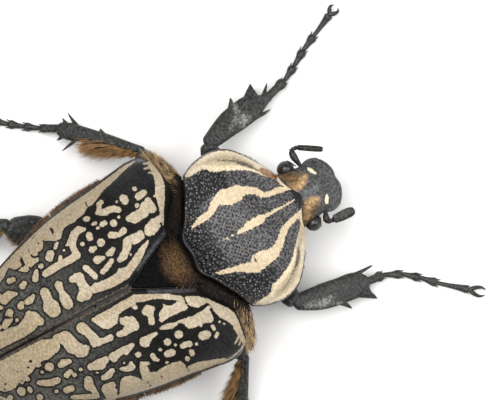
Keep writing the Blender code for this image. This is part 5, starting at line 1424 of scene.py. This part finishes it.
# %% Mouthparts
f = np.linspace(*CHIN_F, 41)[:, None]
out = np.linspace(-1, 1, 41) * np.interp(f, CHIN_F, CHIN_HALF)
f, out = np.broadcast_arrays(f, out)
ceiling = knots(f, HEAD_BOTTOM) - 0.05
lower = ceiling - GAP - CHIN_DEEP * arch(out / (CHIN_HALF[0] + GAP), 2.2)
aside = np.array((0.0, HEAD_ASIDE, 0.0))
lower, ceiling = (np.stack([f, out, z], -1) + aside for z in (lower, ceiling))
plate("chin_skin", lower, ceiling, LEG_FINISH, ["mouthparts"], LEFT, {"chalk": FAR_OUTSIDE})
parts = []
for side in SIDES.values():
    bent = smooth_tube(np.array(FEELER) * (1, side, 1) + (0, HEAD_ASIDE, 0), FEELER_RADII, 48, 16)
    parts.append(swollen(bent, 1 + 0.1 * np.cos(np.linspace(0, 1, 48) * 2 * np.pi * 4)))
tubes("mouth_feelers", parts, LEG_FINISH, [], LEFT, no_chalk)
print("the chin plate is", CHIN_F[1] - CHIN_F[0], "mm long")

# %% [markdown]
# The beetle's fur is bristles, each a thin tapered solid. All bristles of one coat are one mesh,
# worked out at once: three rings of three points and a tip, bent by a share of the distance along
# it squared. Each bristle's patch of the UV map is tiny and lies where its root stands on the
# skin's own unwrap, so a colour read there is the same for skin and hair.

# %% Bristles
PATCH = 0.0014
STEMS = np.array((0.0, 0.38, 0.74))
STEM_WIDTHS = np.array((1.0, 0.8, 0.45))
ROOT_SUNK, LEAST_Z, TONE, DROOP = 0.05, 0.05, 0.42, 0.2


def hair_finish(name, root, tip, roughness=0.55):
    """Bristles darken to the root, by the number 'along' at their points, and differ a little by place."""
    made, tree, shader = new_finish(name)
    place = node_of(tree, "ShaderNodeTexCoord").outputs["Object"]
    kept = node_of(tree, "ShaderNodeAttribute", attribute_name="along").outputs["Fac"]
    cloud = ranged(tree, noise_at(tree, place, 900.0), 0.3, 0.7, -0.42, 0.42)
    share = ranged(tree, summed(tree, kept, cloud), 0.1, 0.9)
    tree.links.new(mixed(tree, root, tip, share), shader.inputs["Base Color"])
    shader.inputs["Roughness"].default_value = roughness
    shader.inputs["Specular IOR Level"].default_value = 0.4
    return made


def bristles(name, roots, ways, bends, lengths, widths, uv_roots, finish, side=LEFT, strands=0.0):
    """One coat: root + way * length * t + bend * length * t squared, with the width shrinking to the tip.

    A wave over its place on the unwrap sets each bristle's tone, and strands changes it as a whole.
    """
    count = len(roots)
    ways = unit(ways)
    aside = unit(np.cross(ways, (0.31, 0.17, 0.93)))
    over = np.cross(ways, aside)
    turn = np.arange(3) * 2 * np.pi / 3
    t = STEMS[None, :, None]
    centre = roots[:, None] + (ways[:, None] * t + bends[:, None] * t ** 2) * lengths[:, None, None]
    ring = aside[:, None] * np.cos(turn)[None, :, None] + over[:, None] * np.sin(turn)[None, :, None]
    body = centre[:, :, None] + ring[:, None] * (widths[:, None] * STEM_WIDTHS)[..., None, None] * 0.5
    tip = roots + (ways + bends) * lengths[:, None]
    points = np.concatenate([body.reshape(count, 9, 3), tip[:, None]], 1)
    points[..., 2] = np.maximum(points[..., 2], LEAST_Z)
    base = np.arange(count)[:, None, None] * 10
    near = np.array([[row * 3 + k, row * 3 + (k + 1) % 3, row * 3 + 3 + (k + 1) % 3, row * 3 + 3 + k]
                     for row in range(2) for k in range(3)])
    ends = np.array([[6, 7, 9], [7, 8, 9], [8, 6, 9], [2, 1, 0]])
    faces = [(near[None] + base).reshape(-1, 4), (ends[None] + base).reshape(-1, 3)]
    wheel = np.stack([np.cos(turn), np.sin(turn)], -1)
    patch = np.concatenate([(wheel * share).reshape(-1, 2) for share in (1.0, 0.7, 0.4)] + [np.zeros((1, 2))])
    uv = (uv_roots[:, None] + patch[None] * PATCH).reshape(-1, 2)
    tone = TONE * np.sin(uv_roots[:, :1] * 9173 + uv_roots[:, 1:] * 7919) + np.reshape(strands, (-1, 1))
    along = {"along": np.concatenate([np.repeat(STEMS, 3), [1.0]]) + tone}
    made = mesh_piece(name, points.reshape(-1, 3), faces, finish, (), uv, along, side, turned=True)
    if volume_of(placed(points[0], side), [near, ends]) < 0:
        made.data.flip_normals()
    print(name, "has", count, "bristles,", 16 * count, "triangles")
    return made


def on_grid(grid, rows, columns):
    """Places, upward normals and unwrap places at fractional rows and columns of a skin."""
    height, width = grid.shape[:2]
    i, j = np.clip(rows.astype(int), 0, height - 2), np.clip(columns.astype(int), 0, width - 2)
    a, b = (rows - i)[:, None], (columns - j)[:, None]
    corners = grid[i, j], grid[i, j + 1], grid[i + 1, j], grid[i + 1, j + 1]
    place = (corners[0] * (1 - a) * (1 - b) + corners[1] * (1 - a) * b + corners[2] * a * (1 - b)
             + corners[3] * a * b)
    normal = unit(np.cross(corners[2] - corners[0], corners[1] - corners[0]) + 1e-12)
    return place, normal, np.stack([rows / (height - 1), columns / (width - 1)], -1)


def even_picks(rng, grid, count, wanted):
    """Seeded spots over a skin, as many on each patch as its area times wanted(f, out) asks for."""
    cell = grid[1:, 1:] - grid[:-1, :-1]
    other = grid[1:, :-1] - grid[:-1, 1:]
    middle = (grid[1:, 1:] + grid[:-1, :-1]) / 2
    area = np.linalg.norm(np.cross(cell, other), axis=-1) * wanted(middle[..., 0], middle[..., 1])
    chosen = rng.choice(area.size, count, p=(area / area.sum()).reshape(-1))
    rows, columns = np.unravel_index(chosen, area.shape)
    return on_grid(grid, rows + rng.random(count), columns + rng.random(count))


def coat(name, seed, grid, count, wanted, lie, length, width, finish, lift=0.5, ruffle=0.25, down=False,
         strands=None):
    """A coat over a skin: bristles rise from it by lift and lean along lie, each ruffled by a seeded draw.

    down is for a skin that faces the floor. strands gives each bristle's change of tone by its place.
    """
    rng = np.random.default_rng(seed)
    place, normal, uv = even_picks(rng, grid, count, wanted)
    normal = normal * np.where(normal[:, 2:] * (-1 if down else 1) < 0, -1, 1)
    way = normal * lift + lie(place) + rng.normal(0, ruffle, place.shape)
    lengths = rng.uniform(*length, count)
    bend = rng.normal(0, 0.5 * ruffle, place.shape) - np.array((0, 0, DROOP))
    return bristles(name, place - normal * ROOT_SUNK, way, bend, lengths, np.full(count, width), uv, finish,
                    strands=strands(place) if strands else 0.0)


TAWNY = hair_finish("tawny_hair", (0.07, 0.032, 0.011), (0.34, 0.18, 0.07))
FRINGE_HAIR = hair_finish("fringe_hair", (0.025, 0.011, 0.004), (0.46, 0.26, 0.105))
DARK_HAIR = hair_finish("dark_hair", (0.008, 0.006, 0.004), (0.075, 0.048, 0.026))
BLACK_HAIR = hair_finish("black_hair", (0.002, 0.002, 0.0015), (0.05, 0.035, 0.025))
FLANK_HAIR = hair_finish("flank_hair", (0.02, 0.011, 0.006), (0.32, 0.185, 0.1))
AMBER_HAIR = hair_finish("amber_hair", (0.015, 0.007, 0.003), (0.5, 0.26, 0.1))
SAND_HAIR = hair_finish("sand_hair", (0.04, 0.024, 0.012), (0.66, 0.45, 0.24))
PILE = hair_finish("ochre_pile", (0.2, 0.12, 0.045), (0.6, 0.4, 0.2), 0.8)
UMBER_PILE = hair_finish("umber_pile", (0.02, 0.012, 0.007), (0.2, 0.125, 0.06), 0.8)
print("a bristle has", 3 * len(STEMS) + 1, "points")

# %% [markdown]
# Fur lies backwards and outwards on this beetle. The collar's is short and dark, with sandy strands
# at its shoulders. Amber strands cover the scutellum's front, and a brown strip shows past the wing
# cases' edge. In a strand, bristles side by side share their tone, as they do when hair clings.

# %% Coats of the body
def lying(f, out, z=0.0):
    """Each bristle's way, from its parts along the three axes."""
    return np.stack(np.broadcast_arrays(f, out, z), -1)


def backwards(place):
    """Mostly towards the tail, a little outwards."""
    return lying(-0.7, 0.35 * np.clip(place[:, 1] / 8, -1, 1))


def outwards(place):
    """Mostly outwards, a little towards the tail and down."""
    return lying(-0.35, 0.9 * np.sign(place[:, 1]), -0.05)


def rearwards(place):
    """Towards the tail, fanning a little outwards."""
    return lying(-1.0, 0.12 * place[:, 1])


def shoulder_lie(place):
    """Outwards and backwards, the more outwards the nearer to the side."""
    sideways = np.clip((np.abs(place[:, 1]) - 8) / 6, 0.2, 1.2)
    return lying(-0.75 + 0.15 * sideways, 0.8 * np.sign(place[:, 1]) * sideways)


def shoulder_strands(place):
    """Light and dark strands side by side: a wave towards the tail, 0.84 mm long."""
    return 0.45 * np.sin(7.5 * place[:, 0] + np.sin(place[:, 1]))


def scutellum_strokes(place):
    """Light and dark strokes side by side: a wave across the body, 0.7 mm long."""
    return 0.42 * np.sin(9 * place[:, 1] + 0.4 * np.sin(2 * place[:, 0]))


def open_collar(f, out):
    """True where no wing case or scutellum lies over the collar."""
    before_case = f > np.minimum(knots(np.abs(out), FRONT_F), 12.9) - 0.2
    return before_case | (np.abs(out) < inner_edge(f) - 0.3)


def on_shoulder(f, out):
    """More and more hair from the collar's middle to its ends."""
    return open_collar(f, out) * ramp(np.abs(out), 9, 7) ** 2 * (f > 10.5)


def shoulder_middle(f, out):
    """A bell curve of hair over each shoulder."""
    return open_collar(f, out) * bell(np.abs(out), 14.6, 2.2) * (f > 11.5)


coat("collar_fur", 21, COLLAR_UPPER, 5200, lambda f, out: open_collar(f, out) & (f > 9.9), backwards,
     (0.35, 0.8), 0.05, BLACK_HAIR)
coat("shoulder_fur", 22, COLLAR_UPPER, 4200, on_shoulder, shoulder_lie, (0.7, 1.5), 0.06, DARK_HAIR, 0.4)
coat("shoulder_strands", 36, COLLAR_UPPER, 2800, shoulder_middle, shoulder_lie, (0.9, 2.2), 0.07, SAND_HAIR,
     0.4, 0.22, strands=shoulder_strands)
coat("scutellum_fur", 23, SCUTELLUM_UPPER, 3000, lambda f, out: ramp(f, 7.2, 2.4) * (np.abs(out) < 4.6),
     backwards, (0.5, 1.0), 0.05, BLACK_HAIR)
coat("scutellum_strands", 26, SCUTELLUM_UPPER, 1500, lambda f, out: ramp(f, 7.4, 2.2) * bell(out, -0.2, 1.9),
     rearwards, (0.9, 2.0), 0.09, AMBER_HAIR, 0.4, 0.08, strands=scutellum_strokes)
for side_name, side in SIDES.items():
    coat("flank_fur_" + side_name, 24 + side, META_UPPER, 3200,
         lambda f, out: (side * out > knots(f, MARGIN_OUT) - 0.6) & (f < 3.5),
         outwards, (0.35, 0.8), 0.05, FLANK_HAIR, 0.25)
    coat("flank_fur_rear_" + side_name, 27 + side, BELLY_UPPER, 2600,
         lambda f, out: (side * out > knots(f, MARGIN_OUT) - 0.9) & (f > -15) & (f < -6.1),
         outwards, (0.35, 0.8), 0.05, FLANK_HAIR, 0.25)
coat("breast_fur", 31, META_LOWER, 6500, lambda f, out: np.clip(np.abs(out) / 9, 0.03, 1),
     backwards, (0.5, 1.1), 0.06, TAWNY, 0.5, down=True)
coat("belly_fur", 32, BELLY_LOWER, 3500, lambda f, out: ramp(np.abs(out), 5, 6),
     backwards, (0.4, 0.8), 0.05, TAWNY, 0.35, down=True)
coat("throat_fur", 33, PRONOTUM_LOW, 5500,
     lambda f, out: np.clip(np.abs(out) / 9, 0.1, 1) * (np.abs(out) < 10.5) * (f > 13) * (f < 27.5),
     backwards, (0.5, 1.0), 0.06, TAWNY, 0.5, down=True)
coat("brow_pile", 34, HEAD_UPPER, 3400,
     lambda f, out: inside_chains(HEAD_OCHRE, f, HEAD_ASIDE - out) > -0.05,
     backwards, (0.14, 0.26), 0.035, PILE, 0.8)
coat("cheek_pile", 35, HEAD_UPPER, 3400,
     lambda f, out: (inside_chains(HEAD_BROWN, f, HEAD_ASIDE - out) > -0.1) & (f > 29),
     backwards, (0.18, 0.4), 0.04, UMBER_PILE, 0.8)

# %% [markdown]
# The legs carry combs of stiff orange-brown bristles: dense along the inner edge of the middle and
# hind tibiae, sparser on the femora. They stand along an edge, so their roots are drawn along the
# segment and a little round it. Their lean and their tone change in waves, so they part in clumps.

# %% Fringes of the legs
CLUMPS = 75  # The waves' speed along the segment: 75 / (2 pi) is about twelve clumps.
ROOT_SPREAD = 0.45


def fringe(name, seed, start, end, profile, edge, span, count, length, width, finish, side, lean=0.45):
    """Bristles along one edge of a limb: outward or inward by edge, leaning towards the foot in clumps."""
    rng = np.random.default_rng(seed)
    direction, outward, deep_axis = limb_axes(start, end)
    share = rng.uniform(*span, count)
    shift, wide, deep = columns_at(share, profile)
    turn = rng.normal(0, ROOT_SPREAD, count)
    normal = edge * outward * np.cos(turn)[:, None] + deep_axis * np.sin(turn)[:, None]
    aside = shift + edge * wide * 0.93 * np.cos(turn)
    over = deep * 0.9 * np.sin(turn)
    root = start + (end - start) * share[:, None] + outward * aside[:, None] + deep_axis * over[:, None]
    clump = 0.3 * np.sin(CLUMPS * share)[:, None]
    way = normal + direction * (lean + clump) + rng.normal(0, 0.1, (count, 3))
    uv = np.stack([share, (0.25 * (1 - edge) + turn / (2 * np.pi)) % 1], -1)
    bend = direction * rng.uniform(0, 0.3, count)[:, None] - np.array((0, 0, 0.12))
    along = (share - span[0]) / (span[1] - span[0])
    full = np.clip(np.minimum(along / 0.45, (1.1 - along) / 0.3), 0, 1)
    lengths = rng.uniform(*length, count) * (0.3 + 0.7 * full)
    strands = 0.4 * np.sin(CLUMPS * share + 0.8 * np.sin(5 * share))
    bristles(name, root, way, bend, lengths, np.full(count, width), uv, finish, side, strands)


for number, (which, plan) in enumerate(LEGS.items()):
    kind, side_name = which.split("_")
    if kind == "front":
        continue
    side = SIDES[side_name]
    hip, knee, ankle = np.array((LEG_ROOTS[kind][1], plan["knee"], plan["ankle"]), float)
    fringe("thigh_hair_" + which, 40 + number, hip, knee, FEMUR[kind], -1, (0.15, 0.95), 520,
           (0.6, 1.3), 0.06, TAWNY, side)
    fringe("shin_hair_" + which, 50 + number, knee, ankle, TIBIA[kind], -1, (0.02, 0.62), 1800,
           (2.4, 4.2), 0.07, FRINGE_HAIR, side, 1.05)

# %% [markdown]
# The photograph looks straight down on the beetle, with its head to the upper right. A long lens
# from nearly a metre away keeps it as flat as a museum plate. The light is a wide soft panel from
# the upper left, a weaker one from the right and a pale room.

# %% Floor, light and camera
PHOTO_TURN = math.radians(28)
VIEW_CENTRE = (3.37, -21.32)
VIEW_WIDE, VIEW_HIGH, BODY_Z = 80.0, 880.0, 18.0
FLOOR_HALF = 1.5
# Size of each soft light in mm and its power.
KEY_LIGHT, FILL_LIGHT, ROOM = (420, 4.3), (400, 2.2), 0.3


def floor_sheet(half):
    """A plain pale sheet, half metres to each side, that the beetle stands on."""
    mesh = bpy.data.meshes.new("studio_floor")
    corners = [(x * half, y * half, 0.0) for x, y in ((-1, -1), (1, -1), (1, 1), (-1, 1))]
    mesh.from_pydata(corners, [], [(0, 1, 2, 3)])
    made, _, shader = new_finish("studio_floor")
    shader.inputs["Base Color"].default_value = (0.86, 0.85, 0.83, 1)
    shader.inputs["Roughness"].default_value = 0.9
    mesh.materials.append(made)
    linked("studio_floor", mesh)


def facing(obj, place, right, up):
    """Puts an object at a place in millimetres, its right and up axes given; it looks against the third."""
    turn = np.eye(4)
    turn[:3, :3] = np.stack([right, up, np.cross(right, up)], 1)
    turn[:3, 3] = np.asarray(place) * MM
    obj.matrix_world = Matrix(turn)


def panel(name, place, wide, power):
    """A square soft light at a place in millimetres, turned to face the beetle."""
    lamp = bpy.data.lights.new(name, "AREA")
    lamp.size = wide * MM
    lamp.energy = power
    obj = linked(name, lamp)
    back = unit(np.array(place, float))
    right = unit(np.cross((0.0, 1.0, 0.0), back))
    facing(obj, place, right, np.cross(back, right))


floor_sheet(FLOOR_HALF)
image_right = np.array((-math.sin(PHOTO_TURN), -math.cos(PHOTO_TURN), 0.0))
image_up = np.array((math.cos(PHOTO_TURN), -math.sin(PHOTO_TURN), 0.0))
camera = bpy.data.cameras.new("photo_camera")
camera.lens = camera.sensor_width * (VIEW_HIGH - BODY_Z) / VIEW_WIDE
camera.clip_start, camera.clip_end = 0.01, 10.0
seen_from = linked("photo_camera", camera)
facing(seen_from, (*VIEW_CENTRE, VIEW_HIGH), image_right, image_up)
bpy.context.scene.camera = seen_from
upper_left = 120 * (image_up - image_right)
panel("key_light", upper_left + (0, 0, 600), *KEY_LIGHT)
panel("fill_light", 400 * image_right + (0, 0, 420), *FILL_LIGHT)
world = bpy.data.worlds.new("pale_room")
world.use_nodes = True
room = world.node_tree.nodes["Background"]
room.inputs["Color"].default_value = (0.95, 0.97, 1.0, 1)
room.inputs["Strength"].default_value = ROOM
bpy.context.scene.world = world
bpy.context.scene.view_settings.view_transform = "Standard"
print("lens in mm:", round(camera.lens))
